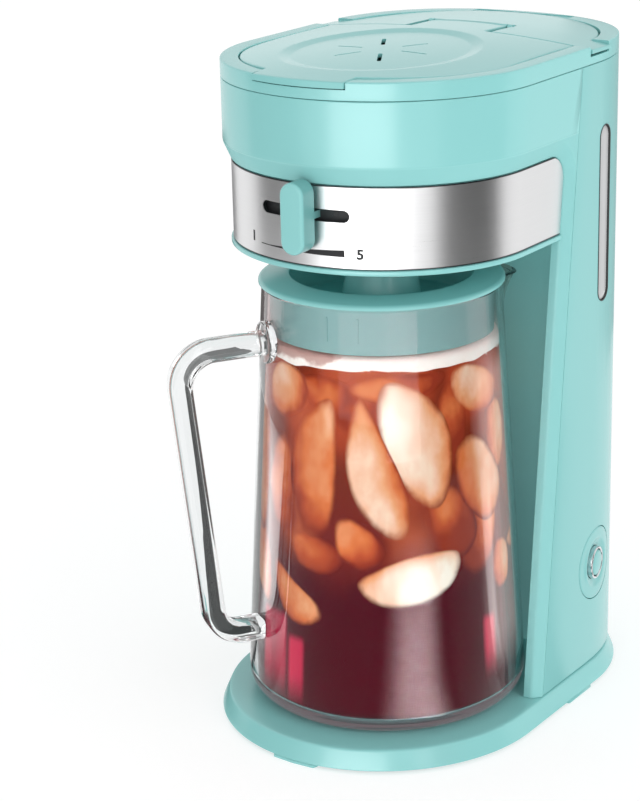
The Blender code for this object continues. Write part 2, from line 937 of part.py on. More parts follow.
def make_strength_lever(axle):
    front = nose_centre_y - nose_reach + edge_inset
    reach = lever_pivot_y - front
    leg_y = -reach + skirt_inset - edge_inset + skirt_wall + lever_leg_gap
    profile = [(gate_bore, lever_thickness), (gate_radius, lever_thickness),
               (gate_radius, 0), (gate_bore, 0)]
    item = turned("strength_lever", profile, dark_plastic())
    half = lever_width / 2
    arm = box("lever_arm", (-half, leg_y, 0), (half, -(gate_bore + gate_radius) / 2, lever_thickness))
    top = slot_z - lever_z + neck_height / 2
    leg = box("lever_leg", (-half, leg_y, lever_thickness / 2),
              (half, leg_y + lever_leg_thickness, top))
    join(item, arm, leg)
    distance = lever_pivot_y - jug_centre_y
    hole = rod("gate_hole", outlet_bore, (distance * sin(gate_hole_turn),
               -distance * cos(gate_hole_turn), -cut_overrun),
               (distance * sin(gate_hole_turn), -distance * cos(gate_hole_turn), cut_overrun))
    cut(item, hole)
    return hang(item, axle)


def make_strength_knob(axle):
    front = nose_centre_y - nose_reach + edge_inset
    reach = lever_pivot_y - front
    back_y = -(reach + knob_stand_off)
    leg_y = -reach + skirt_inset - edge_inset + skirt_wall + lever_leg_gap
    radius = knob_width / 2
    straight = knob_height / 2 - radius
    outline = arc((0, straight), radius, 0, pi) + arc((0, -straight), radius, pi, 2 * pi)
    item = plate("strength_knob", outline, 0, knob_depth, mint())
    item.data.transform(Matrix.Rotation(pi / 2, 4, "X"))
    edge = item.modifiers.new("Edge", "BEVEL")
    edge.width = knob_edge
    edge.segments = 2
    edge.limit_method = "ANGLE"
    edge.angle_limit = edge_angle
    item = bake(item)
    item.data.transform(Matrix.Translation((0, back_y, slot_z - lever_z)))
    neck = box("knob_neck", (-neck_width / 2, back_y - knob_edge, slot_z - lever_z - neck_height / 2),
               (neck_width / 2, leg_y - seat_gap, slot_z - lever_z + neck_height / 2))
    return hang(join(item, neck), axle)


def make_pivot_screw():
    foot = floor_top + pivot_rise - pivot_screw_depth
    boss_top = floor_top + pivot_rise + seat_gap
    profile = [(0, boss_top + screw_head_height), (gate_bore + screw_head_height,
               boss_top + screw_head_height), (gate_bore + screw_head_height, boss_top),
               (screw_shaft_radius, boss_top), (screw_shaft_radius, foot), (0, foot)]
    return turned("lever_screw", profile, steel(), (0, lever_pivot_y, 0), small_steps)



# Brewing parts

def make_deck():
    outline = nose_path(deck_inset, deck_rear_y)
    item = plate("brew_deck", outline, deck_z, deck_z + deck_thickness, mint())
    hole = rod("deck_hole", basket_radius + 2 * seat_gap, (0, jug_centre_y, deck_z - cut_overrun),
               (0, jug_centre_y, deck_z + cut_overrun), steps=round_steps)
    return cut(item, hole)


deck_top = deck_z + deck_thickness


def ring_of_rods(name, radius, ring, count, low, high, centre_y):
    rods = []
    for index in range(count):
        angle = hole_phase + 2 * pi * index / count
        x = ring * cos(angle)
        y = centre_y + ring * sin(angle)
        rods.append(rod(f"{name}_{index}", radius, (x, y, low), (x, y, high), steps=small_steps // 2))
    return rods


def make_basket():
    flange_z = deck_top + seat_gap
    flange_top = flange_z + basket_flange_thickness
    floor = basket_floor_z
    profile = [(basket_radius - basket_wall, flange_top),
               (basket_radius + basket_flange, flange_top),
               (basket_radius + basket_flange, flange_z),
               (basket_radius, flange_z),
               (basket_foot_radius, floor),
               (0, floor), (0, floor + basket_wall),
               (basket_foot_radius - basket_wall, floor + basket_wall)]
    item = turned_cup("brew_basket", profile, dark_plastic(), (0, jug_centre_y, 0))
    return cut(item, *ring_of_rods("basket_hole", basket_hole_radius, basket_hole_ring,
                                   basket_hole_count, floor - cut_overrun / 2,
                                   floor + cut_overrun / 2, jug_centre_y))


def turned_cup(name, profile, material, spot, steps=round_steps):
    # a cup's profile runs over its rim, down outside to the axis, and up inside from the axis
    points = [(radius, 0, height) for radius, height in profile]
    count = len(points)
    on_axis = [index for index, point in enumerate(profile) if point[0] == 0]
    edges = [(index, (index + 1) % count) for index in range(count) if index != on_axis[0]]
    mesh = bpy.data.meshes.new(name)
    mesh.from_pydata(points, edges, [])
    item = place(name, mesh, material)
    turn = item.modifiers.new("Turn", "SCREW")
    turn.steps = steps
    turn.render_steps = steps
    turn.use_merge_vertices = True
    turn.merge_threshold = merge_distance
    item = bake(item)
    item.location = spot
    return item


def make_filter():
    top = deck_top - filter_drop
    floor = basket_floor_z + basket_wall + filter_floor_lift
    slope = (basket_radius - basket_foot_radius) / (deck_top - basket_floor_z)
    foot_radius = (basket_foot_radius + slope * (floor - basket_floor_z) - basket_wall - filter_gap)
    top_radius = basket_foot_radius + slope * (top - basket_floor_z) - basket_wall - filter_gap
    profile = [(top_radius - filter_wall, top), (top_radius, top), (foot_radius, floor),
               (0, floor), (0, floor + filter_wall),
               (foot_radius - filter_wall, floor + filter_wall)]
    return turned_cup("mesh_filter", profile, filter_mesh(), (0, jug_centre_y, 0))


def make_spreader():
    foot = deck_top + seat_gap + basket_flange_thickness + seat_gap
    top = foot + spreader_thickness
    radius = basket_radius + basket_flange / 2
    grip_top = top + spreader_rise + spreader_grip_height
    profile = [(0, grip_top), (spreader_grip_radius, grip_top),
               (spreader_grip_radius, top + spreader_rise * 3 / 4),
               (radius / 2, top), (radius, top), (radius, foot), (0, foot)]
    item = turned("spreader_plate", profile, dark_plastic(), (0, jug_centre_y, 0))
    for index, (ring, count) in enumerate(spreader_hole_rings):
        cut(item, *ring_of_rods(f"spray_{index}", spreader_hole_radius, ring, count,
                                foot - cut_overrun / 2, top + cut_overrun / 2, jug_centre_y))
    return item


# Water parts

def tank_plan(inset):
    # the tail's line at one inset from the body, closed by a flat front with round corners
    wall = tank_inset + inset
    radius = tank_corner_radius - inset
    start = tank_front_y + inset + radius
    depth = (start - tail_centre_y) / (tail_reach - wall)
    first = asin(depth ** (tail_fullness_share / 2))
    half = tail_half_width(start, wall)
    points = arc((radius - half, start), radius, 3 * pi / 2, pi)
    count = 2 * tail_steps
    for step in range(1, count):
        angle = pi - first - (pi - 2 * first) * step / count
        wide = abs(cos(angle)) ** (2 / tail_fullness_share) * (-1 if angle > pi / 2 else 1)
        deep = sin(angle) ** (2 / tail_fullness_share)
        points.append(((body_half_width - wall) * wide, tail_centre_y + (tail_reach - wall) * deep))
    return points + arc((half - radius, start), radius, 0, -pi / 2)


def tail_half_width(y, inset):
    depth = (y - tail_centre_y) / (tail_reach - inset)
    return (body_half_width - inset) * (1 - depth ** tail_fullness_share) ** (1 / tail_fullness_share)


def make_tank():
    loops = [at_level(tank_plan(0), tank_floor_z), at_level(tank_plan(0), tank_top_z),
             at_level(tank_plan(tank_wall), tank_top_z),
             at_level(tank_plan(tank_wall), tank_floor_z + tank_wall)]
    item = skin("water_tank", loops, clear_plastic())
    hole = rod("tank_outlet", valve_bore + seat_gap, (valve_x, valve_y, tank_floor_z - cut_overrun),
               (valve_x, valve_y, tank_floor_z + cut_overrun))
    return cut(item, hole)


def make_tank_valve():
    seat = tank_floor_z + tank_wall + seat_gap
    profile = [(valve_nozzle_radius, seat + valve_flange_height),
               (valve_flange_radius, seat + valve_flange_height),
               (valve_flange_radius, seat), (valve_bore, seat),
               (valve_bore, tank_floor_z - seat_gap),
               (valve_nozzle_radius + valve_nozzle_wall, tank_floor_z - seat_gap),
               (valve_nozzle_radius + valve_nozzle_wall, tank_floor_z - valve_nozzle_drop),
               (valve_nozzle_radius, tank_floor_z - valve_nozzle_drop)]
    return turned("tank_valve", profile, silicone(), (valve_x, valve_y, 0), small_steps)


def make_heater():
    leg = heater_half_spread
    bend = [(leg * cos(angle), heater_bend_y + leg * sin(angle))
            for angle in (pi * step / nose_steps for step in range(nose_steps + 1))]
    path = [(leg, heater_front_y)] + bend + [(-leg, heater_front_y)]
    item = tube("heater_tube", at_level(path, heater_z), heater_tube_radius, aluminium(), 4)
    for side in (1, -1):
        stand = rod(f"heater_stand_{side}", heater_stand_radius,
                    (side * leg, heater_bend_y, cover_top + seat_gap), (side * leg, heater_bend_y, heater_z))
        join(item, stand)
    top = heater_z + heater_tube_radius + seat_gap
    cap = [(0, top + thermostat_height), (thermostat_radius, top + thermostat_height),
           (thermostat_radius, top), (0, top)]
    turned("thermostat", cap, aluminium(), (0, heater_bend_y + leg, 0), small_steps)
    fuse_z = top + fuse_radius
    rod("thermal_fuse", fuse_radius, (-leg, heater_bend_y - fuse_length / 2, fuse_z),
        (-leg, heater_bend_y + fuse_length / 2, fuse_z), dark_plastic(), guide=False)
    return item


def make_hoses():
    leg = heater_half_spread
    start = tank_floor_z - valve_nozzle_drop - seat_gap
    end = heater_front_y - seat_gap
    down = [(valve_x, valve_y, start), (valve_x, valve_y, start - 2 * hose_bend),
            (valve_x, hose_y, heater_z + 3 * hose_bend), (valve_x, hose_y, heater_z),
            (valve_x, end, heater_z)]
    tube("inlet_hose", filleted(down, hose_bend), hose_radius, silicone())
    spout_foot = spout_z - hose_bend - hose_radius
    up = [(-leg, end, heater_z), (-leg, hose_y, heater_z),
          (-leg, hose_y, heater_z + 3 * hose_bend), (0, hose_y, heater_z + hose_crossing),
          (0, hose_y, spout_foot - seat_gap)]
    tube("riser_hose", filleted(up, hose_bend), hose_radius, silicone())
    over = [(0, hose_y, spout_foot), (0, hose_y, spout_z), (0, spout_tip_y, spout_z)]
    spout = tube("water_spout", filleted(over, hose_bend), spout_radius, dark_plastic())
    bore = rod("spout_bore", spout_radius - spout_wall, (0, spout_tip_y - cut_overrun, spout_z),
               (0, spout_tip_y + 2 * spout_radius, spout_z))
    return cut(spout, bore)


# Window and power button on the right side

def side_frame(y, turn):
    # a frame on the right flank whose Z points out of the body
    spot = Vector((tail_half_width(y, 0), y, 0))
    facing = Matrix.Rotation(turn, 4, "Z") @ Matrix.Rotation(pi / 2, 4, "Y")
    return Matrix.Translation(spot) @ facing


def side_rod(name, radius, low, high):
    item = rod(name, radius, (0, 0, low), (0, 0, high), steps=round_steps)
    item.matrix_world = button_frame()
    return item


def button_frame():
    return Matrix.Translation((0, 0, button_z)) @ side_frame(button_y, button_turn)


def window_body(name, grow=0.0, guide=False):
    radius = window_width / 2 + grow
    middle = (window_foot_z + window_top_z) / 2
    reach = (window_top_z - window_foot_z) / 2 + grow - radius
    outline = arc((reach, 0), radius, -pi / 2, pi / 2) + arc((-reach, 0), radius, pi / 2, 3 * pi / 2)
    low = -cut_overrun if guide else -shell_wall - window_proud
    high = cut_overrun if guide else window_proud
    item = plate(name, outline, low, high, None if guide else frosted(), guide)
    frame = side_frame(window_y, window_turn)
    item.matrix_world = Matrix.Translation((0, 0, middle)) @ frame
    return item


def make_button_group():
    foot = column_foot_z
    loops = []
    for inset, level in ((0, button_z - 2 * surround_radius), (0, button_z + 2 * surround_radius),
                         (surround_thickness, button_z + 2 * surround_radius),
                         (surround_thickness, button_z - 2 * surround_radius)):
        loops.append(at_level(tail_path(inset, seam_y(foot)), level))
    ring = skin("button_surround", loops, mint(), ring=True, closed=False)
    shape(ring, side_rod("surround_disc", surround_radius, -cut_overrun, cut_overrun), "INTERSECT")
    dish = turned("dish_cutter", [(0, dish_lift + cut_overrun), (dish_radius, dish_lift + cut_overrun),
                                  (dish_radius, dish_lift), (bezel_radius + seat_gap, dish_lift - dish_depth),
                                  (bezel_radius + seat_gap, -cut_overrun), (0, -cut_overrun)], None, guide=True)
    dish.matrix_world = button_frame()
    cut(ring, dish)
    inner = bezel_radius - bezel_wall
    low = -bezel_depth
    barrel = low - 2 * button_travel
    profile = [(inner, bezel_proud), (bezel_radius - bezel_wall / 2, bezel_proud + bezel_wall / 3),
               (bezel_radius, bezel_proud), (bezel_radius, barrel), (inner, barrel)]
    bezel = turned("button_ring", profile, chrome())
    bezel.matrix_world = button_frame()
    cap = [(0, button_proud + button_crown), (button_radius / 2, button_proud + button_crown * 3 / 4),
           (button_radius - button_crown, button_proud), (button_radius, button_proud - button_crown),
           (button_radius, low + button_travel), (button_stem_radius, low + button_travel),
           (button_stem_radius, low - button_travel), (0, low - button_travel)]
    button = turned("power_button", cap, mint())
    button.matrix_world = button_frame()
    back = barrel - seat_gap
    switch = box("power_switch", (-switch_height / 2, -switch_ahead, back - switch_length),
                 (switch_height / 2, switch_width - switch_ahead, back), dark_plastic(), guide=False)
    switch.matrix_world = button_frame()
    return button


def make_cord_bush():
    inner = -shell_wall - bush_tail
    profile = [(bush_bore, bush_flange_thickness + seat_gap), (bush_flange - skirt_round,
               bush_flange_thickness + seat_gap), (bush_flange, seat_gap), (bush_radius, seat_gap),
               (bush_radius, inner), (bush_bore, inner)]
    item = turned("cord_bush", profile, rubber(), steps=small_steps)
    item.matrix_world = Matrix.Translation((0, tail_end, bush_z)) @ Matrix.Rotation(-pi / 2, 4, "X")
    return item


# Rim, lids and hinges

def crown_body(name, drop=0.0):
    # the lids' shallow dome as a solid, lowered by drop
    reach = crown_reach_share
    profile = [(0.0, crown_height - drop)]
    for step in range(1, crown_rings + 1):
        share = reach * step / crown_rings
        profile.append((share, crown_height * (1 - share * share) - drop))
    profile += [(reach, -cut_overrun), (0, -cut_overrun)]
    item = turned(name, profile, None, guide=True)
    item.data.transform(Matrix.Diagonal((crown_half_width, crown_half_length, 1, 1)))
    item.data.transform(Matrix.Translation((0, crown_centre_y, rim_top_z)))
    return item


def lid_plan(inset, rear):
    edge = rim_width + lid_gap + inset
    if rear:
        line = tail_arc(edge, reach=tail_reach - lid_rear_gap)
        front = lid_seam_y + lid_gap / 2 + inset
        return [(-(body_half_width - edge), front)] + [p for p in line if p[1] > front] + [
            (body_half_width - edge, front)]
    back = lid_seam_y - lid_gap / 2 - inset
    return nose_path(edge, back)


def lid_blank(name, rear, extras):
    # a lid's plate with its tabs under the dome, hollowed from below
    item = plate(name, lid_plan(0, rear), lid_foot_z, lid_block_z, mint())
    join(item, *extras)
    shape(item, crown_body("crown_over_" + name), "INTERSECT")
    pocket = plate("pocket_" + name, lid_plan(lid_wall, rear), rim_foot_z, lid_block_z, guide=True)
    shape(pocket, crown_body("crown_in_" + name, dish_recess + dish_floor_thickness), "INTERSECT")
    return cut(item, pocket)


lid_block_z = rim_top_z + 2 * crown_height


def make_front_lid(axle):
    half = front_tab_half_width
    front = nose_centre_y - nose_reach
    tab = box("tab_front", (-half, front - 2 * front_tab_proud, rim_top_z - front_tab_thickness),
              (half, front + 2 * rim_width, lid_block_z))
    outer = plate("tab_outline", body_plan(-front_tab_proud), rim_foot_z, lid_block_z, guide=True)
    shape(tab, outer, "INTERSECT")
    tongue_foot = front_hinge_z - front_barrel_radius
    tongue = box("tongue", (-tongue_half_width, lid_seam_y - 2 * rim_width, tongue_foot),
                 (tongue_half_width, front_hinge_y, lid_block_z))
    item = lid_blank("front_lid", False, (tab, tongue))
    barrel = rod("barrel_front", front_barrel_radius, (-tongue_half_width, front_hinge_y, front_hinge_z),
                 (tongue_half_width, front_hinge_y, front_hinge_z), steps=small_steps)
    bore = rod("bore_front", pin_radius + pin_gap, (-lid_block_z, front_hinge_y, front_hinge_z),
               (lid_block_z, front_hinge_y, front_hinge_z), steps=small_steps)
    cut(join(item, barrel), bore, dish_cutter(), *vent_cutters())
    return hang(item, axle)


def dish_cutter():
    # an oval plug with a sloping side, whose underside follows the dome
    inner = 1.0 - dish_slope / dish_half_length
    profile = [(0, crown_height), (1.0, crown_height), (inner, -2 * dish_recess), (0, -2 * dish_recess)]
    item = turned("dish_cutter", profile, None, guide=True)
    item.data.transform(Matrix.Diagonal((dish_half_width, dish_half_length, 1, 1)))
    item.data.transform(Matrix.Translation((0, dish_centre_y, rim_top_z)))
    return shape(item, crown_body("dish_floor", dish_recess), "DIFFERENCE")


def vent_cutters():
    floor = crown_body("vent_floor", dish_recess + vent_line_depth)
    cutters = []
    for index in range(vent_count):
        through = index in vent_through
        half = (vent_width if through else vent_line_width) / 2
        mark = box(f"vent_{index}", (vent_inner, -half, -cut_overrun), (vent_outer, half, cut_overrun))
        mark.data.transform(Matrix.Rotation(2 * pi * index / vent_count, 4, "Z"))
        mark.data.transform(Matrix.Translation((0, dish_centre_y, rim_top_z)))
        if not through:
            shape(mark, floor, "DIFFERENCE")
        cutters.append(mark)
    return cutters


def make_rear_lid(axle):
    tabs = []
    for side in (1, -1):
        inner = body_half_width - 2 * rim_width
        outer = body_half_width + side_tab_proud
        low_x, high_x = sorted((side * inner, side * outer))
        tabs.append(box(f"tab_side_{side}", (low_x, side_tab_front_y, rim_top_z - side_tab_thickness),
                        (high_x, side_tab_rear_y, lid_block_z)))
    half = tongue_half_width + lug_width + 2 * running_gap
    item = lid_blank("rear_lid", True, tabs)
    notch = box("tongue_notch", (-half, lid_seam_y - rim_width, rim_foot_z),
                (half, front_hinge_y + front_barrel_radius + running_gap, lid_block_z + cut_overrun))
    cut(item, notch)
    reach = rear_hinge_half_width - running_gap
    barrel = rod("barrel_rear", rear_barrel_radius, (-reach, rear_hinge_y, rear_hinge_z),
                 (reach, rear_hinge_y, rear_hinge_z), steps=small_steps)
    web = box("barrel_web", (-reach, rear_hinge_y - 3 * rear_barrel_radius, lid_foot_z),
              (reach, rear_hinge_y, rim_top_z))
    bore = rod("bore_rear", rear_pin_radius + pin_gap, (-lid_block_z, rear_hinge_y, rear_hinge_z),
               (lid_block_z, rear_hinge_y, rear_hinge_z), steps=small_steps)
    cut(join(item, web, barrel), bore)
    return hang(item, axle)


def make_rim():
    foot = rim_foot_z
    top = rim_top_z
    ledge_foot = rim_ledge_z - rim_ledge_thickness
    rows = ((0, foot), (0, top - rim_round), (rim_round, top), (rim_width, top),
            (rim_width, rim_ledge_z), (rim_width + rim_ledge_width, rim_ledge_z),
            (rim_width + rim_ledge_width, ledge_foot), (rim_skirt, foot))
    item = skin("top_rim", [at_level(body_plan(inset), level) for inset, level in rows], mint(), ring=True)
    half = tongue_half_width + running_gap
    bar_reach = body_half_width - rim_width - rim_round
    bar = box("hinge_bar", (-bar_reach, front_hinge_y - bar_half_depth, rim_ledge_z - bar_thickness),
              (bar_reach, front_hinge_y + bar_half_depth, rim_ledge_z))
    join(item, bar)
    for side in (1, -1):
        low_x, high_x = sorted((side * half, side * (half + lug_width)))
        lug = box(f"lug_{side}", (low_x, front_hinge_y - front_barrel_radius, rim_ledge_z - bar_thickness / 2),
                  (high_x, front_hinge_y + front_barrel_radius, front_hinge_z))
        cap = rod(f"lug_cap_{side}", front_barrel_radius, (low_x, front_hinge_y, front_hinge_z),
                  (high_x, front_hinge_y, front_hinge_z), steps=small_steps)
        join(item, lug, cap)
    front = nose_centre_y - nose_reach
    gap = running_gap
    tab = box("tab_notch", (-front_tab_half_width - gap, front - rim_width,
                            rim_top_z - front_tab_thickness - gap),
              (front_tab_half_width + gap, front + 3 * rim_width, lid_block_z))
    sides = box("side_notch", (-2 * body_half_width, side_tab_front_y - gap, rim_top_z - side_tab_thickness - gap),
                (2 * body_half_width, side_tab_rear_y + gap, lid_block_z))
    keep = box("side_keep", (-bar_reach + 2 * rim_ledge_width, 0, rim_foot_z - cut_overrun),
               (bar_reach - 2 * rim_ledge_width, 2 * front_hinge_y, lid_block_z + cut_overrun))
    shape(sides, keep, "DIFFERENCE")
    back = rear_hinge_y + rear_barrel_radius + 2 * running_gap
    hinge = box("hinge_notch", (-rear_hinge_half_width, rear_hinge_y - 4 * rear_barrel_radius,
                                rear_hinge_z - rear_barrel_radius - running_gap),
                (rear_hinge_half_width, back, lid_block_z))
    front_bore = rod("lug_bore", pin_radius + pin_gap, (-half - 2 * lug_width, front_hinge_y, front_hinge_z),
                     (half + 2 * lug_width, front_hinge_y, front_hinge_z), steps=small_steps)
    reach = rear_hinge_half_width + rear_pin_reach + seat_gap
    rear_bore = rod("rim_bore", rear_pin_radius + pin_gap, (-reach, rear_hinge_y, rear_hinge_z),
                    (reach, rear_hinge_y, rear_hinge_z), steps=small_steps)
    return cut(item, tab, sides, hinge, front_bore, rear_bore)


def make_pins():
    reach = tongue_half_width + running_gap + lug_width
    rod("front_lid_pin", pin_radius, (-reach, front_hinge_y, front_hinge_z),
        (reach, front_hinge_y, front_hinge_z), steel(), guide=False)
    reach = rear_hinge_half_width + rear_pin_reach
    rod("rear_lid_pin", rear_pin_radius, (-reach, rear_hinge_y, rear_hinge_z),
        (reach, rear_hinge_y, rear_hinge_z), steel(), guide=False)


# Jug

def jug_radius(level):
    # outer radius of the jug's side over the table line
    if level < jug_floor_z + jug_round:
        share = 1 - (level - jug_floor_z) / jug_round
        return jug_foot_radius + (jug_side(level) - jug_foot_radius) * sqrt(max(0, 1 - share * share))
    return jug_side(level)


def jug_side(level):
    share = (level - jug_widest_z) / (jug_top_z - jug_widest_z)
    return jug_widest_radius + (jug_top_radius - jug_widest_radius) * max(0, share)


def jug_loop(radius, level, lip):
    points = []
    for step in range(round_steps):
        angle = 2 * pi * step / round_steps
        off = abs((angle - spout_turn + pi) % (2 * pi) - pi)
        pull = cos(pi / 2 * off / spout_half_angle) ** 2 if off < spout_half_angle else 0
        reach = radius + lip * pull * spout_reach
        points.append((reach * cos(angle), jug_centre_y + reach * sin(angle),
                       level - lip * pull * spout_droop))
    return points


def jug_levels(foot):
    curve = [foot + (jug_floor_z + jug_round - foot) * (1 - cos(pi / 2 * step / corner_steps))
             for step in range(corner_steps + 1)]
    straight = [jug_round + jug_floor_z + (spout_foot_z - jug_round - jug_floor_z) * step / jug_bands
                for step in range(1, jug_bands + 1)]
    lip = [spout_foot_z + (jug_top_z - spout_foot_z) * step / jug_lip_bands
           for step in range(1, jug_lip_bands + 1)]
    return curve + straight + lip


def lip_share(level):
    # how far the spout has opened at this height
    share = max(0, (level - spout_foot_z) / (jug_top_z - spout_foot_z))
    return share * share


def make_jug():
    outer = [jug_loop(jug_radius(level), level, lip_share(level)) for level in jug_levels(jug_floor_z)]
    floor = jug_floor_z + jug_floor_thickness
    inner = [jug_loop(inner_radius(level), level, lip_share(level)) for level in jug_levels(floor)]
    return skin("pitcher_jug", outer + inner[::-1], clear_plastic())


def inner_radius(level):
    floor = jug_floor_z + jug_floor_thickness
    share = max(0, 1 - (level - floor) / (jug_round - jug_floor_thickness))
    side = jug_side(level) - jug_wall
    foot = jug_foot_radius - jug_wall
    return foot + (side - foot) * sqrt(max(0, 1 - share * share))


def make_handle():
    wall_top = jug_side(handle_arm_z) - jug_wall
    wall_foot = jug_side(handle_foot_z) - jug_wall
    corners = [(wall_top, 0, handle_arm_z), (handle_reach_top, 0, handle_arm_z),
               (handle_reach_foot, 0, handle_foot_z), (wall_foot, 0, handle_foot_z)]
    upper = filleted(corners[:3], handle_corner_top)
    lower = filleted(corners[1:], handle_corner_foot)
    path = upper[:-1] + lower[1:]
    half = handle_thickness / 2
    wide = handle_width / 2
    nick = handle_chamfer
    section = ((half, wide - nick), (half - nick, wide), (nick - half, wide), (-half, wide - nick),
               (-half, nick - wide), (nick - half, -wide), (half - nick, -wide), (half, nick - wide))
    loops = []
    for index, point in enumerate(path):
        before = path[max(index - 1, 0)]
        after = path[min(index + 1, len(path) - 1)]
        along = (after - before).normalized()
        out = Vector((along.z, 0, -along.x))
        loops.append([point + out * (-thick) + Vector((0, across, 0)) for thick, across in section])
    item = skin("pitcher_handle", loops, clear_plastic())
    pad = rod("handle_pad", handle_pad_radius, (wall_top, 0, handle_arm_z),
              (jug_side(handle_arm_z) + handle_pad_thickness, 0, handle_arm_z), steps=2 * small_steps)
    levels = [jug_top_z, jug_widest_z, jug_floor_z]
    profile = [(0, levels[0])] + [(jug_side(level) + seat_gap, level) for level in levels] + [(0, levels[2])]
    core = turned("handle_core", profile, None, guide=True, steps=2 * round_steps)
    cut(join(item, pad), core)
    item = bake(item)
    item.data.transform(Matrix.Rotation(handle_turn, 4, "Z"))
    item.data.transform(Matrix.Translation((0, jug_centre_y, 0)))
    return item


def make_jug_lid(axle):
    foot = jug_top_z + seat_gap
    skirt = jug_top_radius - jug_wall - jug_lid_skirt_gap
    wall = jug_lid_wall
    under = jug_lid_well_top_z - wall
    profile = [(jug_lid_well_radius, jug_lid_well_top_z), (jug_lid_radius - skirt_round, jug_lid_z),
               (jug_lid_radius, jug_lid_z - skirt_round), (jug_lid_radius, foot), (skirt, foot),
               (skirt, jug_lid_skirt_foot_z), (skirt - wall, jug_lid_skirt_foot_z),
               (skirt - wall, jug_lid_z - wall), (jug_lid_well_radius + wall, under),
               (jug_lid_well_foot_radius + wall, jug_lid_well_z - wall),
               (jug_lid_boss_foot - wall, jug_lid_well_z - wall),
               (jug_lid_boss_top - wall, jug_lid_boss_z - wall),
               (jug_lid_bore, jug_lid_boss_z - wall), (jug_lid_bore, jug_lid_boss_z),
               (jug_lid_boss_top, jug_lid_boss_z), (jug_lid_boss_foot, jug_lid_well_z),
               (jug_lid_well_foot_radius, jug_lid_well_z)]
    item = turned("pitcher_lid", profile, mint())
    item.parent = axle
    return item


# Assembly

def hang(item, parent):
    # fixes a piece and every solid that shapes it to one parent
    for solid in solids_of(item):
        solid.parent = parent
    return item


def axle(name, spot):
    empty = bpy.data.objects.new(name, None)
    empty.location = spot
    guides.objects.link(empty)
    return empty


def solids_of(item):
    # a piece and every solid that shapes it, each once
    found = {item}
    for step in item.modifiers:
        if step.type == "BOOLEAN":
            found |= solids_of(step.object)
    return found


def shift_to(item, spot):
    # moves a piece's meshes so that its parent's place becomes their own zero point
    for solid in solids_of(item):
        solid.data.transform(Matrix.Translation(-Vector(spot)))


clear_scene()
parts = new_collection("iced_tea_maker")
guides = new_collection("cutters")
machine = axle("machine", (0, 0, 0))
lever_axle = axle("lever_axle", (0, lever_pivot_y, lever_z))
lever_axle.rotation_euler.z = knob_rest_angle
front_hinge = (0, front_hinge_y, front_hinge_z)
front_axle = axle("front_lid_axle", front_hinge)
rear_hinge = (0, rear_hinge_y, rear_hinge_z)
rear_axle = axle("rear_lid_axle", rear_hinge)
jug_axle = axle("pitcher_lid_axle", (0, jug_centre_y, 0))

make_base()
make_base_screws()
make_feet()
make_front_housing()
make_rear_housing()
make_bay_panel()
make_head_skirt()
make_steel_band()
make_head_floor()
make_strength_lever(lever_axle)
make_strength_knob(lever_axle)
make_pivot_screw()
make_deck()
make_basket()
make_filter()
make_spreader()
make_tank()
make_tank_valve()
make_heater()
make_hoses()
window_body("level_window")
make_button_group()
make_cord_bush()
make_rim()
shift_to(make_front_lid(front_axle), front_hinge)
shift_to(make_rear_lid(rear_axle), rear_hinge)
make_pins()
make_jug()
handle = make_handle()
make_jug_lid(jug_axle)

# The zero point of the whole is under its middle, between the handle and the base's rear edge
handle_front = min(point.co.y for point in handle.data.vertices)
machine.location.y = -(handle_front + base_tail_centre_y + base_tail_reach) / 2

for item in list(parts.objects) + list(guides.objects):
    if item.parent is None and item is not machine:
        item.parent = machine
bpy.context.view_layer.update()
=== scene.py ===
import bmesh
import bpy
from math import atan, cos, hypot, pi, radians, sin, sqrt
from mathutils import Matrix, Vector


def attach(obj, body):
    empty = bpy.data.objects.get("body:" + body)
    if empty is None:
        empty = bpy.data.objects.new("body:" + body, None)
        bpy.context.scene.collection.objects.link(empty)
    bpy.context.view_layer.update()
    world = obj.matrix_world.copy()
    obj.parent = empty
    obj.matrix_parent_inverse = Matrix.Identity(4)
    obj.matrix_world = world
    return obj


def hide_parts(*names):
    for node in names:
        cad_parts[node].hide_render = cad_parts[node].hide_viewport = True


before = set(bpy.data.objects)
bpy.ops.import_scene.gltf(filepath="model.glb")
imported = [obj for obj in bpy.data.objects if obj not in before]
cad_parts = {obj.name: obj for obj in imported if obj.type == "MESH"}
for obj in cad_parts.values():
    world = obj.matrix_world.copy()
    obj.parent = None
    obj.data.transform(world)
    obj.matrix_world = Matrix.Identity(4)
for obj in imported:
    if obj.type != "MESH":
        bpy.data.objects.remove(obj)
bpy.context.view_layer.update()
scene = bpy.context.scene
shiftY = -0.0263406   # from the jug and column axes to the frame's middle
print("frame loaded")


# shader building

def feed(slot, value):
    if isinstance(value, Wire):
        slot.id_data.links.new(value.socket, slot)
    else:
        slot.default_value = value


def combine(tree, action, *parts):
    made = tree.nodes.new("ShaderNodeMath")
    made.operation = action
    for slot, part in zip(made.inputs, parts):
        feed(slot, part)
    return Wire(tree, made.outputs[0])


class Wire:
    # one socket of a node tree; plain operators on it add maths nodes
    def __init__(self, tree, socket):
        self.tree = tree
        self.socket = socket

    def math(self, action, *others):
        return combine(self.tree, action, self, *others)

    def __add__(self, other):
        return combine(self.tree, "ADD", self, other)

    def __radd__(self, other):
        return combine(self.tree, "ADD", other, self)

    def __sub__(self, other):
        return combine(self.tree, "SUBTRACT", self, other)

    def __rsub__(self, other):
        return combine(self.tree, "SUBTRACT", other, self)

    def __mul__(self, other):
        return combine(self.tree, "MULTIPLY", self, other)


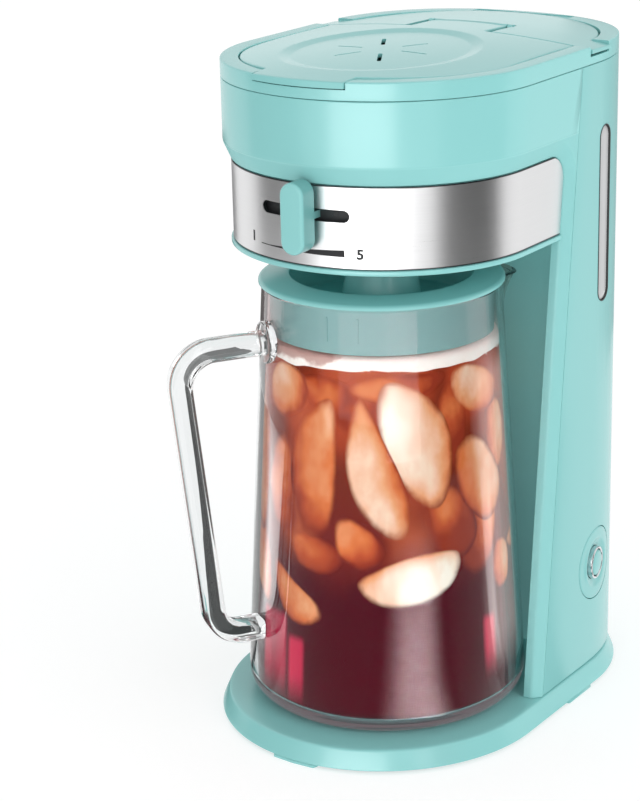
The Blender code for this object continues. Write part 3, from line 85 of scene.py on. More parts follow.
class Paint:
    # a material built from nodes given by type, settings and socket values
    def __init__(self, name, fixed):
        self.material = bpy.data.materials.new(name)
        self.material.use_nodes = True
        self.tree = self.material.node_tree
        self.shader = self.tree.nodes["Principled BSDF"]
        for key, value in fixed.items():
            self.shader.inputs[key].default_value = value

    def node(self, kind, settings=None, values=None, out=0):
        made = self.tree.nodes.new(kind)
        for key, value in (settings or {}).items():
            if key == "stops":
                ramp = made.color_ramp.elements
                while len(ramp) < len(value):
                    ramp.new(1.0)
                for spot, (place, tint) in zip(ramp, value):
                    spot.position = place
                    spot.color = tint
            else:
                setattr(made, key, value)
        for key, value in (values or {}).items():
            feed(made.inputs[key], value)
        return Wire(self.tree, made.outputs[out])

    def place(self):
        return self.node("ShaderNodeTexCoord", out="Object")

    def axes(self):
        split = self.node("ShaderNodeSeparateXYZ", values={"Vector": self.place()})
        return [Wire(self.tree, socket) for socket in split.socket.node.outputs]

    def noise(self, scale, detail=2.0, stretch=(1, 1, 1), rough=0.5, out=0):
        spot = self.node("ShaderNodeVectorMath", {"operation": "MULTIPLY"}, {0: self.place(), 1: stretch})
        return self.node("ShaderNodeTexNoise", {}, {"Vector": spot, "Scale": scale, "Detail": detail,
                                                    "Roughness": rough}, out=out)

    def mix(self, share, one, two):
        return self.node("ShaderNodeMix", {"data_type": "RGBA"}, {0: share, 6: one, 7: two}, out=2)

    def slide(self, value, low, high, start=0.0, end=1.0):
        return self.node("ShaderNodeMapRange", {"interpolation_type": "SMOOTHSTEP"},
                         {"Value": value, "From Min": low, "From Max": high, "To Min": start, "To Max": end})

    def fade(self, value, low, high):
        return self.slide(value, low, high, 1.0, 0.0)

    def between(self, value, rise, fall):
        return self.slide(value, *rise) * self.fade(value, *fall)

    def bump(self, height, strength, distance=0.001):
        self.use("Normal", self.node("ShaderNodeBump", {}, {"Height": height, "Strength": strength,
                                                            "Distance": distance}))

    def use(self, name, value):
        feed(self.shader.inputs[name], value)


def colour(red, green, blue):
    return (red, green, blue, 1.0)


def grey(tone):
    return colour(tone, tone, tone)


mintLook = {"base": colour(0.254, 0.596, 0.586), "light": colour(0.264, 0.608, 0.597), "rough": 0.24,
            "grain": 1600.0, "grainDepth": 0.035}


def mintPaint(name="mintPlastic", glow=0.0, rule=None):
    # a rule gives a share from the place on the piece, and the colour and the added roughness where it is one
    paint = Paint(name, {"Coat Weight": 0.10, "Coat Roughness": 0.16, "Emission Strength": glow})
    shade = paint.mix(paint.noise(14.0, 1.0), mintLook["base"], mintLook["light"])
    rough = mintLook["rough"] + paint.noise(30.0, 1.0) * 0.02
    if rule:
        share, tint, more = rule(paint)
        shade = paint.mix(share, shade, tint)
        rough = rough + share * more
    paint.use("Base Color", shade)
    if glow:
        paint.use("Emission Color", shade)
    paint.use("Roughness", rough)
    paint.bump(paint.noise(mintLook["grain"], 1.0), mintLook["grainDepth"], 0.0002)
    return paint.material


def plainPaint(name, dark, light, rough, grain, depth, fixed=None):
    paint = Paint(name, fixed or {})
    paint.use("Base Color", paint.mix(paint.noise(40.0, 4.0), dark, light))
    paint.use("Roughness", rough + (paint.noise(grain / 4) - 0.5) * 0.1)
    paint.bump(paint.noise(grain, 2.0), depth, 0.0003)
    return paint.material


# the edge colour is a painted shadow line along the band's top and bottom edges
bandLook = {"light": colour(0.84, 0.84, 0.845), "dark": colour(0.74, 0.74, 0.745),
            "edge": colour(0.05, 0.05, 0.055), "foot": 0.2500, "top": 0.2891, "line": 0.0005, "rough": 0.24}


def bandPaint():
    # fine level scratches, and a painted shadow line along both long edges, where the band meets the head
    paint = Paint("brushedBand", {"Metallic": 1.0})
    z = paint.axes()[2]
    scratch = paint.noise(30.0, 5.0, (1, 1, 160), 0.7)
    metal = paint.mix(scratch, bandLook["dark"], bandLook["light"])
    foot, top = bandLook["foot"], bandLook["top"]
    near, far = bandLook["line"] * 0.6, bandLook["line"] * 1.6
    # painted shadow: near-black close to the band's top and bottom edges
    inside = paint.between(z, (foot + near, foot + far), (top - far, top - near))
    paint.use("Base Color", paint.mix(inside, bandLook["edge"], metal))
    paint.use("Roughness", bandLook["rough"] + scratch * 0.12)
    paint.bump(scratch, 0.12, 0.0002)
    return paint.material


jugMiddleY = -0.0024
jugLook = {"pale": colour(0.94, 0.945, 0.945), "lipRise": (0.2010, 0.2060), "footFade": (0.0150, 0.0250),
           "spoutAngles": ((12, 38), (70, 90)), "spoutRise": (0.185, 0.205), "spout": colour(0.60, 0.52, 0.49),
           "foot": colour(0.40, 0.36, 0.37), "footGlow": colour(0.030, 0.024, 0.026),
           "paintedSheenAngles": ((-13, -5), (11, 18)), "paintedSheenLevels": ((0.030, 0.060), (0.185, 0.200)),
           "paintedSheen": colour(0.090, 0.078, 0.074)}


def roundJug(x, y):
    # degrees round the jug's upright middle line
    return (y - (jugMiddleY + shiftY)).math("ARCTAN2", x) * (180 / pi)


def clearPaint(name, tint, fixed, lip=None):
    paint = Paint(name, {"Transmission Weight": 1.0, "IOR": 1.47, **fixed})
    shade = paint.mix(paint.noise(25.0), tint, jugLook["pale"])
    # duller above the liquid and smoky by the spout and in the thick foot; painted light: a pale painted
    # reflection glows down the right side and the foot glows faintly
    if lip:
        x, y, z = paint.axes()
        shade = paint.mix(paint.slide(z, *jugLook["lipRise"]), shade, lip)
        angle = roundJug(x, y)
        spout = paint.between(angle, *jugLook["spoutAngles"]) * paint.slide(z, *jugLook["spoutRise"])
        shade = paint.mix(spout, shade, jugLook["spout"])
        foot = paint.fade(z, *jugLook["footFade"])
        shade = paint.mix(foot, shade, jugLook["foot"])
        rise, fall = jugLook["paintedSheenLevels"]
        side = paint.between(angle, *jugLook["paintedSheenAngles"]) * paint.slide(z, *rise)
        side = side * paint.fade(z, *fall)
        paintedSheen = paint.mix(side, grey(0), jugLook["paintedSheen"])
        # painted light: the glass glows with the painted reflection on its right side and faintly in its foot
        paint.use("Emission Color", paint.mix(foot, paintedSheen, jugLook["footGlow"]))
    paint.use("Base Color", shade)
    paint.use("Roughness", paint.noise(18.0) * 0.02)
    paint.bump(paint.noise(22.0, 1.0), 0.03, 0.002)
    return paint.material


mint = mintPaint()
mintInside = mintPaint("mintInside", 0.19)   # the bay's wall glows faintly in its own colour: painted light that stands in for the light bouncing between wall and jug
darkPlastic = plainPaint("darkPlastic", colour(0.018, 0.018, 0.020), colour(0.032, 0.032, 0.035), 0.45, 900.0,
                         0.10)
rubber = plainPaint("greyRubber", colour(0.07, 0.075, 0.075), colour(0.11, 0.115, 0.115), 0.72, 700.0, 0.25)
steel = plainPaint("plainSteel", colour(0.60, 0.60, 0.61), colour(0.74, 0.74, 0.75), 0.28, 500.0, 0.06,
                   {"Metallic": 1.0})
chrome = plainPaint("brightChrome", colour(0.74, 0.74, 0.76), colour(0.80, 0.80, 0.82), 0.10, 200.0, 0.01,
                    {"Metallic": 1.0})
castMetal = plainPaint("castMetal", colour(0.45, 0.46, 0.48), colour(0.62, 0.63, 0.65), 0.48, 1200.0, 0.35,
                       {"Metallic": 1.0})
silicone = plainPaint("milkySilicone", colour(0.72, 0.70, 0.66), colour(0.82, 0.80, 0.76), 0.5, 400.0, 0.10)
frosted = plainPaint("frostedWindow", colour(0.47, 0.475, 0.48), colour(0.56, 0.565, 0.57), 0.22, 900.0, 0.04,
                     {"Coat Weight": 0.6, "Coat Roughness": 0.12})
gasket = plainPaint("darkGasket", colour(0.05, 0.055, 0.055), colour(0.08, 0.085, 0.085), 0.6, 700.0, 0.10)
ink = plainPaint("blackInk", colour(0.010, 0.010, 0.011), colour(0.020, 0.020, 0.022), 0.5, 1500.0, 0.05)
# the jug's emission is painted light: a painted reflection down its right side and a faint glow in its foot
jugClear = clearPaint("clearJug", colour(0.93, 0.96, 0.965),
                      {"Specular Tint": colour(0.158, 0.108, 0.112), "Emission Strength": 1.0},
                      colour(0.925, 0.815, 0.82))
handleClear = clearPaint("clearHandle", colour(0.84, 0.86, 0.865), {})


def meshPaint():
    # a fine weave over the filter cup
    paint = Paint("filterWeave", {"Metallic": 0.6})
    x, y, z = paint.axes()
    angle = y.math("ARCTAN2", x)
    weave = (angle * 260.0).math("SINE") * (z * 5200.0).math("SINE")
    paint.use("Base Color", paint.mix(paint.slide(weave, -0.4, 0.4), grey(0.10), colour(0.46, 0.47, 0.47)))
    paint.use("Roughness", 0.4 + paint.noise(80.0) * 0.2)
    paint.bump(weave, 0.5, 0.0003)
    return paint.material


weave = meshPaint()
print("materials made")


# meshes

def finishMesh(name, points, faces, material, crease=34):
    mesh = bpy.data.meshes.new(name)
    mesh.from_pydata([(x, y + shiftY, z) for x, y, z in points], [], faces)
    return settleObject(name, mesh, material, crease)


def linked(name, data):
    item = bpy.data.objects.new(name, data)
    scene.collection.objects.link(item)
    return item


def settleObject(name, mesh, material, crease=34):
    work = bmesh.new()
    work.from_mesh(mesh)
    bmesh.ops.remove_doubles(work, verts=work.verts, dist=0.000004)
    bmesh.ops.dissolve_degenerate(work, edges=work.edges, dist=0.000002)
    bmesh.ops.recalc_face_normals(work, faces=work.faces)
    work.to_mesh(mesh)
    work.free()
    mesh.materials.clear()
    if material:
        mesh.materials.append(material)
    mesh.shade_smooth()
    mesh.set_sharp_from_angle(angle=radians(crease))
    return linked(name, mesh)


class Form:
    # gathers loops and solids into one mesh
    def __init__(self):
        self.points = []
        self.faces = []

    def loft(self, loops, ring=False, closed=True, caps=True):
        first = len(self.points)
        count = len(loops[0])
        for loop in loops:
            self.points += [tuple(point) for point in loop]
        rows = len(loops) if ring else len(loops) - 1
        columns = count if closed else count - 1
        for row in range(rows):
            here = first + row * count
            there = first + ((row + 1) % len(loops)) * count
            for column in range(columns):
                beside = (column + 1) % count
                self.faces.append((here + column, here + beside, there + beside, there + column))
        if closed and not ring and caps:
            self.faces.append(tuple(range(first, first + count)))
            last = first + (len(loops) - 1) * count
            self.faces.append(tuple(range(last, last + count)))
        if ring and not closed and caps:
            self.faces.append(tuple(first + row * count for row in range(len(loops))))
            self.faces.append(tuple(first + row * count + count - 1 for row in range(len(loops))))
        return self

    def turned(self, profile, spot=(0, 0, 0), steps=96, ring=True, matrix=None):
        # a profile of (radius, height) turned round an upright line, or round a matrix's own one
        loops = []
        for radius, height in profile:
            loop = []
            for step in range(steps):
                angle = 2 * pi * step / steps
                point = Vector((radius * cos(angle), radius * sin(angle), height))
                point = matrix @ point if matrix else point + Vector(spot)
                loop.append(point)
            loops.append(loop)
        return self.loft(loops, ring)

    def box(self, low, high):
        (a, b, c), (d, e, f) = low, high
        low = [(a, b, c), (d, b, c), (d, e, c), (a, e, c)]
        return self.loft([low, [(x, y, f) for x, y, _ in low]])

    def object(self, name, material, crease=34):
        return finishMesh(name, self.points, self.faces, material, crease)


def softCorner(before, corner, after, reach, steps):
    # points of a soft bend that takes the place of a corner
    start = corner + before.normalized() * reach
    end = corner + after.normalized() * reach
    for step in range(steps + 1):
        t = step / steps
        yield start * (1 - t) ** 2 + corner * 2 * t * (1 - t) + end * t * t


def rounded(corners, size, steps=4, closed=True):
    # rounds the corners of a profile; a third value is a corner's own size
    path = []
    count = len(corners)
    for index, corner in enumerate(corners):
        here = Vector(corner[:2])
        own = corner[2] if len(corner) > 2 else size
        if own == 0 or (not closed and index in (0, count - 1)):
            path.append(tuple(here))
            continue
        before = Vector(corners[index - 1][:2]) - here
        after = Vector(corners[(index + 1) % count][:2]) - here
        reach = min(own, 0.48 * before.length, 0.48 * after.length)
        path += [tuple(point) for point in softCorner(before, here, after, reach, steps)]
    return path


def bake(item, crease=34, material=None):
    bpy.context.view_layer.update()
    graph = bpy.context.evaluated_depsgraph_get()
    mesh = bpy.data.meshes.new_from_object(item.evaluated_get(graph))
    mesh.transform(item.matrix_world)
    name = item.name
    kept = material or (item.data.materials[0] if item.data.materials else None)
    bpy.data.objects.remove(item, do_unlink=True)
    made = settleObject(name, mesh, kept, crease)
    made.name = name
    return made


def carve(item, cutters, action="DIFFERENCE", crease=34):
    for cutter in cutters:
        step = item.modifiers.new("carve", "BOOLEAN")
        step.operation = action
        step.solver = "EXACT"
        step.object = cutter
    made = bake(item, crease)
    for cutter in cutters:
        bpy.data.objects.remove(cutter, do_unlink=True)
    return made


def bevel(item, width, limit=70):
    step = item.modifiers.new("edge", "BEVEL")
    step.width = width
    step.segments = 2
    step.limit_method = "ANGLE"
    step.angle_limit = radians(limit)
    step.harden_normals = False
    return bake(item, 40)


def cutterFrom(form):
    return form.object("cutter", None)


def boxCutter(low, high):
    return cutterFrom(Form().box(low, high))


def rodCutter(radius, start, end, steps=64):
    profile = [(radius, 0), (radius, (Vector(end) - Vector(start)).length)]
    return cutterFrom(Form().turned(profile, steps=steps, ring=False, matrix=rodFrame(start, end)))


def rodFrame(start, end):
    start = Vector(start)
    along = Vector(end) - start
    return Matrix.Translation(start) @ Vector((0, 0, 1)).rotation_difference(along).to_matrix().to_4x4()


def arc(centre, radius, start, end, steps=12):
    sweep = [start + (end - start) * step / steps for step in range(steps + 1)]
    return [(centre[0] + radius * cos(angle), centre[1] + radius * sin(angle)) for angle in sweep]


def atLevel(outline, level):
    return [(x, y, level) for x, y in outline]


def capsule(halfLength, radius, steps=12):
    reach = halfLength - radius
    return arc((reach, 0), radius, -pi / 2, pi / 2, steps) + arc((-reach, 0), radius, pi / 2, 3 * pi / 2, steps)


def refine(node, width):
    # a copy of a plain node with its sharp edges softened
    source = bpy.data.objects[node]
    copy = source.copy()
    copy.data = source.data.copy()
    scene.collection.objects.link(copy)
    work = bmesh.new()
    work.from_mesh(copy.data)
    bmesh.ops.remove_doubles(work, verts=work.verts, dist=0.00001)
    bmesh.ops.dissolve_limit(work, angle_limit=radians(1), verts=work.verts, edges=work.edges)
    work.to_mesh(copy.data)
    work.free()
    copy.name = node + "_soft"
    return bevel(copy, width, 50)


# plans of the body and the base

body = {"halfWidth": 0.0803, "noseY": 0.0032, "noseReach": 0.0772, "tailY": 0.0660, "tailReach": 0.0790,
        "full": 2.3}
base = {"halfWidth": 0.0852, "noseY": -0.0024, "noseReach": 0.0877, "tailY": 0.0703, "tailReach": 0.0809,
        "full": 2.0}


def noseArc(inset, form=body, steps=48):
    wide, reach = form["halfWidth"] - inset, form["noseReach"] - inset
    angles = [-pi / 2 * step / steps for step in range(2 * steps + 1)]
    return [(wide * cos(a), form["noseY"] + reach * sin(a)) for a in angles]


def tailArc(inset, form=body, steps=36, trim=0.0):
    half, reach = form["halfWidth"] - inset, form["tailReach"] - trim - inset
    points = []
    for step in range(2 * steps + 1):
        angle = pi - pi / 2 * step / steps
        wide = abs(cos(angle)) ** (2 / form["full"])
        deep = max(sin(angle), 0) ** (2 / form["full"])
        side = 1 if angle < pi / 2 else -1
        points.append((half * wide * side, form["tailY"] + reach * deep))
    points[steps] = (0, form["tailY"] + form["tailReach"] - trim - inset)
    return points


def plan(inset, form=body):
    return noseArc(inset, form) + tailArc(inset, form)


column = {"seamY": 0.0185, "lean": 0.107, "stripDepth": 0.0056, "lip": 0.0012, "chamfer": 0.0039,
          "strip": 0.0083, "outerRadius": 0.0200, "innerRadius": 0.0120, "foot": 0.0118, "bayBack": 0.0760,
          "bayRadius": 0.0300, "bayTop": 0.2494, "wall": 0.0024, "gap": 0.0003, "chamferTop": 0.2982,
          "bandTop": 0.2891, "bandFoot": 0.2497, "top": 0.3291, "climb": 14, "bend": 22}


def seamY(level):
    return column["seamY"] + column["lean"] * level


def stripY(level):
    return seamY(level) - column["stripDepth"]


def bandEnd(level, extra=0.0):
    # where the band and the skirt stop against the column, rounded at their top corner
    lean = hypot(1, column["lean"])
    centreZ = column["bandTop"] + column["gap"] - column["innerRadius"]
    straight = stripY(level) - (column["gap"] + extra) * lean
    if level <= centreZ:
        return straight
    clear = column["innerRadius"] - column["gap"] - extra
    above = min(level - centreZ, clear)
    centreY = seamY(centreZ) - column["stripDepth"] - column["innerRadius"] * lean
    return min(straight, centreY + sqrt(max(0, clear * clear - above * above)))


def nosePath(inset, endY, steps=48):
    half = body["halfWidth"] - inset
    return [(half, endY)] + noseArc(inset, steps=steps) + [(-half, endY)]


def edgeLine(offset, top, radius):
    lean = hypot(1, column["lean"])
    centreZ = top - radius
    centreY = seamY(centreZ) - offset - radius * lean
    turn = arc((centreY, centreZ), radius, -atan(column["lean"]), pi / 2, column["bend"])
    rise = []
    for step in range(column["climb"]):
        level = column["foot"] + (turn[0][1] - column["foot"]) * step / column["climb"]
        rise.append((seamY(level) - offset, level))
    return rise + turn


def lipLine():
    return edgeLine(column["lip"], column["chamferTop"], column["outerRadius"])


def borderLine():
    # up the parting line, then forward along the top
    edge = lipLine()
    line = [(seamY(level), level) for _, level in edge[:column["climb"]]]
    turn = edge[column["climb"]:]
    half = len(turn) // 2
    foot = turn[0][1]
    top = column["top"]
    line += [(seamY(z), z) for z in (foot + (top - foot) * step / half for step in range(half))]
    left = len(turn) - half
    for step in range(left):
        share = step / (left - 1)
        line.append((seamY(top) + (turn[-1][0] - seamY(top)) * share, top))
    return line


def aroundFront(line, inset):
    half = body["halfWidth"] - inset
    level = line[-1][1]
    right = [(half, y, z) for y, z in line]
    left = [(-half, y, z) for y, z in reversed(line)]
    return right + atLevel(noseArc(inset), level) + left


def softRows(rows, sizes, steps=4):
    # rounds the creases of a surface given as rows of matching points
    made = [rows[0]]
    for before, row, after, size in zip(rows, rows[1:], rows[2:], sizes):
        bends = []
        for a, b, c in zip(before, row, after):
            b = Vector(b)
            back = Vector(a) - b
            on = Vector(c) - b
            reach = min(size, 0.45 * back.length, 0.45 * on.length)
            bends.append(list(softCorner(back, b, on, reach, steps)))
        made += [list(loop) for loop in zip(*bends)]
    return made + [rows[-1]]


def frontHousing():
    border = borderLine()
    chamfer = edgeLine(column["stripDepth"], column["bandTop"] + column["gap"], column["innerRadius"])
    rows = [aroundFront(border, column["wall"] * 0.6), aroundFront(border, 0), aroundFront(lipLine(), 0),
            aroundFront(chamfer, column["chamfer"]), aroundFront(chamfer, column["strip"])]
    item = Form().loft(softRows(rows, (0.0005, 0.0012, 0.0012)), closed=False).object("frontHousing", mint)
    wall = item.modifiers.new("wall", "SOLIDIFY")
    wall.thickness = 0.0014
    wall.offset = -1.0
    wall.use_even_offset = False
    return bake(item, 40)


def chamferRule(paint):
    # the chamfer and all below it have a duller finish
    height = paint.axes()[2]
    edge = column["chamferTop"]
    return paint.fade(height, edge - 0.0008, edge + 0.0006), mintLook["base"], 0.34


front = frontHousing()
front.data.materials[0] = mintPaint("mintHead", 0.0, chamferRule)
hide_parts("front_housing")
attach(front, "machine")
print("front housing")

windowSpec = {"y": 0.0790, "foot": 0.2075, "top": 0.2970, "width": 0.0118, "turn": 4.7, "proud": 0.0006,
              "depth": 0.0024, "crown": 0.0014}
buttonSpec = {"y": 0.0765, "z": 0.0655, "turn": 8.6, "surround": 0.0193, "dish": 0.0127,
              "ring": 0.0086, "ringWall": 0.0013, "cap": 0.0068, "thick": 0.0045}
bushSpec = {"radius": 0.0063, "ends": (0.130, 0.160), "z": 0.030}


def sideX(y):
    share = max(0.0, (y - body["tailY"]) / body["tailReach"])
    return body["halfWidth"] * (1 - share ** body["full"]) ** (1 / body["full"])


def spun(degrees):
    return Matrix.Rotation(radians(degrees), 4, "Z")


def sideFrame(y, z, turn):
    return Matrix.Translation((sideX(y), y, z)) @ spun(turn) @ Matrix.Rotation(pi / 2, 4, "Y")


def placed(matrix, loop):
    return [matrix @ Vector(point) for point in loop]


windowFrame = sideFrame(windowSpec["y"], (windowSpec["foot"] + windowSpec["top"]) / 2, windowSpec["turn"])
windowHalf = (windowSpec["top"] - windowSpec["foot"]) / 2
buttonFrame = sideFrame(buttonSpec["y"], buttonSpec["z"], buttonSpec["turn"])


def windowLoop(grow, level, steps=16):
    # the window's outline, grown on all sides
    outline = capsule(windowHalf + grow, windowSpec["width"] / 2 + grow, steps)
    return placed(windowFrame, atLevel(outline, level))


def rearHousing():
    gap = column["gap"]
    foot, top, wall = column["foot"], column["top"], column["wall"]
    profile = rounded([(0, foot), (0, top), (wall, top), (wall, foot)], 0.0005, 3)
    loops = []
    for inset, level in profile:
        half = body["halfWidth"] - inset
        start = seamY(level) + gap
        loops.append(atLevel([(-half, start)] + tailArc(inset) + [(half, start)], level))
    item = Form().loft(loops, ring=True, closed=False).object("rearHousing", mint)
    item = bevel(item, 0.0005)
    grow = 0.00055
    hole = cutterFrom(Form().loft([windowLoop(grow, z, 12) for z in (-0.01, 0.01)]))
    disc = rodCutter(buttonSpec["surround"] + gap, *[buttonFrame @ Vector((0, 0, z)) for z in (-0.01, 0.01)],
                     96)
    bush = rodCutter(bushSpec["radius"], *[(0, y, bushSpec["z"]) for y in bushSpec["ends"]], 48)
    return carve(item, [hole, disc, bush], crease=40)


rear = rearHousing()
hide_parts("rear_housing")
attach(rear, "machine")


def bayPanel():
    foot, top, wall = column["foot"], column["bayTop"], column["wall"]
    profile = rounded([(0, foot), (0, top), (wall, top), (wall, foot)], 0.0004, 2)
    loops = []
    for offset, level in profile:
        half = body["halfWidth"] - column["strip"] + offset
        radius = column["bayRadius"] + offset
        centreX = body["halfWidth"] - column["strip"] - column["bayRadius"]
        centreY = column["bayBack"] - column["bayRadius"]
        start = stripY(level) + column["wall"] + column["gap"]
        left = arc((-centreX, centreY), radius, pi, pi / 2, 24)
        right = arc((centreX, centreY), radius, pi / 2, 0, 24)
        loops.append(atLevel([(-half, start)] + left + right + [(half, start)], level))
    # painted light: the bay's wall is given a faint glow
    item = Form().loft(loops, ring=True, closed=False).object("bayPanel", mintInside)
    return bevel(item, 0.0004)


panel = bayPanel()
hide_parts("bay_panel")
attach(panel, "machine")
print("rear housing and bay")

traySpec = {"foot": 0.0020, "top": 0.0115, "batter": 0.0043, "wall": 0.0024}


def baseTray():
    foot, top, batter, wall = (traySpec[key] for key in ("foot", "top", "batter", "wall"))
    profile = rounded([(batter + wall, top - wall, 0), (wall, foot, 0.0003), (0, foot, 0.0005),
                       (0.0006, 0.0034, 0.0006), (batter - 0.0002, 0.0112, 0.0009),
                       (batter + 0.0016, top, 0.0009), (0.0110, top, 0)], 0, 5, closed=False)
    rows = [atLevel(plan(inset, base), level) for inset, level in profile]
    rows += [atLevel(plan(inset, base), top) for inset in (0.030, 0.055)]
    return Form().loft(rows).object("baseTray", mint)


tray = baseTray()
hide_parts("base_tray")
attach(tray, "machine")
for foot in ("front", "rear", "left", "right"):
    pad = refine("base_foot_" + foot, 0.0003)
    pad.data.materials.clear()
    pad.data.materials.append(mint)
    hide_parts("base_foot_" + foot)
    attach(pad, "machine")
print("base")

# the dark colour is painted shade inside the band's slot
headSpec = {"lipInset": 0.0028, "skirtInset": 0.0047, "skirtWall": 0.0024, "ledge": 0.0120, "foot": 0.2473,
            "bandFoot": 0.2500, "bandWall": 0.0005, "slotZ": 0.2750, "slotHalf": 0.0244, "slotHeight": 0.0059,
            "slotShadeEdge": (0.0010, 0.0014), "slotShadeEnds": (0.0262, 0.0266), "dark": colour(0.020, 0.026, 0.026)}


def pathLoop(inset, level, extra=0.0):
    return atLevel(nosePath(inset, bandEnd(level, extra)), level)


def bendLevels(count=10):
    start = column["bandTop"] - column["innerRadius"]
    return [start + column["innerRadius"] * sin(pi / 2 * step / count) for step in range(count)]


def slotCutter(grow):
    outline = capsule(headSpec["slotHalf"] + grow, headSpec["slotHeight"] / 2 + grow)
    y = body["noseY"] - body["noseReach"] - 0.01
    ends = [[(x, y + depth, headSpec["slotZ"] + z) for x, z in outline] for depth in (0.0, 0.03)]
    return cutterFrom(Form().loft(ends))


def slotShadeRule(paint):
    # painted shade: black inside the slot, under the band's edge, where the head's hollow lies in shadow
    x, y, z = paint.axes()
    low = headSpec["slotZ"] - headSpec["slotHeight"] / 2
    high = headSpec["slotZ"] + headSpec["slotHeight"] / 2
    near, far = headSpec["slotShadeEdge"]
    share = paint.between(z, (low - far, low - near), (high + near, high + far))
    start, end = headSpec["slotShadeEnds"]
    share = share * paint.fade(x * x, start ** 2, end ** 2) * paint.fade(y, 0.0, 0.001)
    return share, headSpec["dark"], 0.2


def headSkirt():
    outer, lip, ledge = headSpec["skirtInset"], headSpec["lipInset"], headSpec["ledge"]
    inner = outer + headSpec["skirtWall"]
    foot, top = column["bandFoot"], column["bandTop"]
    rows = rounded([(ledge, headSpec["foot"], 0.0002), (lip, headSpec["foot"], 0.0008), (lip, foot, 0.0006),
                    (outer, foot, 0)], 0, 4, closed=False)
    rows += [(outer, level) for level in bendLevels()] + [(outer, top), (inner, top)]
    rows += [(inner, level) for level in reversed(bendLevels())] + [(inner, foot), (ledge, foot)]
    form = Form().loft([pathLoop(inset, level) for inset, level in rows], ring=True, closed=False)
    return carve(form.object("headSkirt", mintPaint("mintSkirt", 0.0, slotShadeRule)), [slotCutter(0.0004)])


skirt = headSkirt()
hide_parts("head_skirt")
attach(skirt, "machine")


def steelBand():
    foot = headSpec["bandFoot"]
    outer = column["chamfer"]
    inner = outer + headSpec["bandWall"]
    levels = [foot + 0.0002, foot + 0.006, foot + 0.012] + bendLevels(12) + [column["bandTop"] - 0.0002]
    face = [(outer + 0.00015, foot)] + [(outer, level) for level in levels] + [(outer + 0.00015,
                                                                                column["bandTop"])]
    rows = face + [(inner, level) for _, level in reversed(face)]
    form = Form().loft([pathLoop(inset, level, 0.0001) for inset, level in rows], ring=True, closed=False,
                       caps=False)
    count = len(form.points) // len(rows)
    for row in range(len(face) - 1):
        for end in (0, count - 1):   # each end is shut by a strip that follows its rounded corner
            corners = (row, row + 1, len(rows) - 2 - row, len(rows) - 1 - row)
            form.faces.append(tuple(k * count + end for k in corners))
    return carve(form.object("steelBand", bandPaint()), [slotCutter(0.0)], crease=30)


band = steelBand()
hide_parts("steel_band")
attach(band, "machine")

markSpec = {"lift": 0.00006, "sunk": 0.0001, "left": -0.0262, "right": 0.0218, "foot": 0.2564, "thin": 0.0004,
            "thick": 0.0034, "sizes": 0.0066, "low": -0.0338, "high": 0.0272}


def onBand(x, z, lift):
    # a point on the band's face over x
    inset = column["chamfer"] - lift
    half = body["halfWidth"] - inset
    reach = body["noseReach"] - inset
    return (x, body["noseY"] - reach * sqrt(1 - (x / half) ** 2), z)


def strengthMarks():
    # a wedge that grows with the strength, with a plain number at each end
    steps = 60
    proud, sunk = markSpec["lift"], markSpec["sunk"]
    loops = []
    for step in range(steps + 1):
        share = step / steps
        x = markSpec["left"] + (markSpec["right"] - markSpec["left"]) * share
        drop = -0.0006 * share
        low = markSpec["foot"] + drop
        high = low + markSpec["thin"] + (markSpec["thick"] - markSpec["thin"]) * max(0, share - 0.12) / 0.88
        section = ((low, -sunk), (high, -sunk), (high, proud), (low, proud))
        loops.append([onBand(x, z, lift) for z, lift in section])
    return Form().loft(loops).object("strengthMarks", ink)


def numeral(text, x, z, size):
    face = bpy.data.curves.new("numeral", "FONT")
    face.body = text
    face.size = size
    face.extrude = 0.0001
    face.offset = 0.00028
    face.resolution_u = 6
    item = linked("numeral_" + text, face)
    bpy.context.view_layer.update()
    mesh = bpy.data.meshes.new_from_object(item.evaluated_get(bpy.context.evaluated_depsgraph_get()))
    bpy.data.objects.remove(item, do_unlink=True)
    for vertex in mesh.vertices:
        u, v, w = vertex.co
        spot = onBand(x + u, z + v, markSpec["lift"] if w > 0 else -markSpec["sunk"])
        vertex.co = (spot[0], spot[1] + shiftY, spot[2])
    return settleObject("numeral_" + text, mesh, ink)


for mark in (strengthMarks(), numeral("1", markSpec["low"], markSpec["foot"] + 0.0003, markSpec["sizes"]),
             numeral("5", markSpec["high"], markSpec["foot"] - 0.0012, markSpec["sizes"])):
    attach(mark, "machine")
print("head and band")

# the side colour is painted shade on the knob's sides
knobSpec = {"width": 0.0123, "height": 0.0340, "depth": 0.0113, "standOff": 0.0027, "edge": 0.0016, "turn": 2.3,
            "neckWidth": 0.0100, "neckHeight": 0.0034, "sideShadeRise": (0.0009, 0.0021),
            "side": colour(0.160, 0.405, 0.398)}
pivotReach = body["noseReach"] - column["chamfer"]
pivotY = body["noseY"] - pivotReach + (body["halfWidth"] - column["chamfer"]) ** 2 / pivotReach
leverReach = pivotY - (body["noseY"] - pivotReach)
leverFrame = Matrix.Translation((0, pivotY, 0)) @ spun(knobSpec["turn"])


def knobShadeRule(paint):
    # painted shade: darker on the sides than on the face, where they stand close to the band
    x, y = paint.axes()[:2]
    back = y - pivotY - shiftY
    deep = (leverReach + knobSpec["standOff"] + knobSpec["depth"]) - (x * x + back * back).math("SQRT")
    return paint.slide(deep, *knobSpec["sideShadeRise"]), knobSpec["side"], 0.05


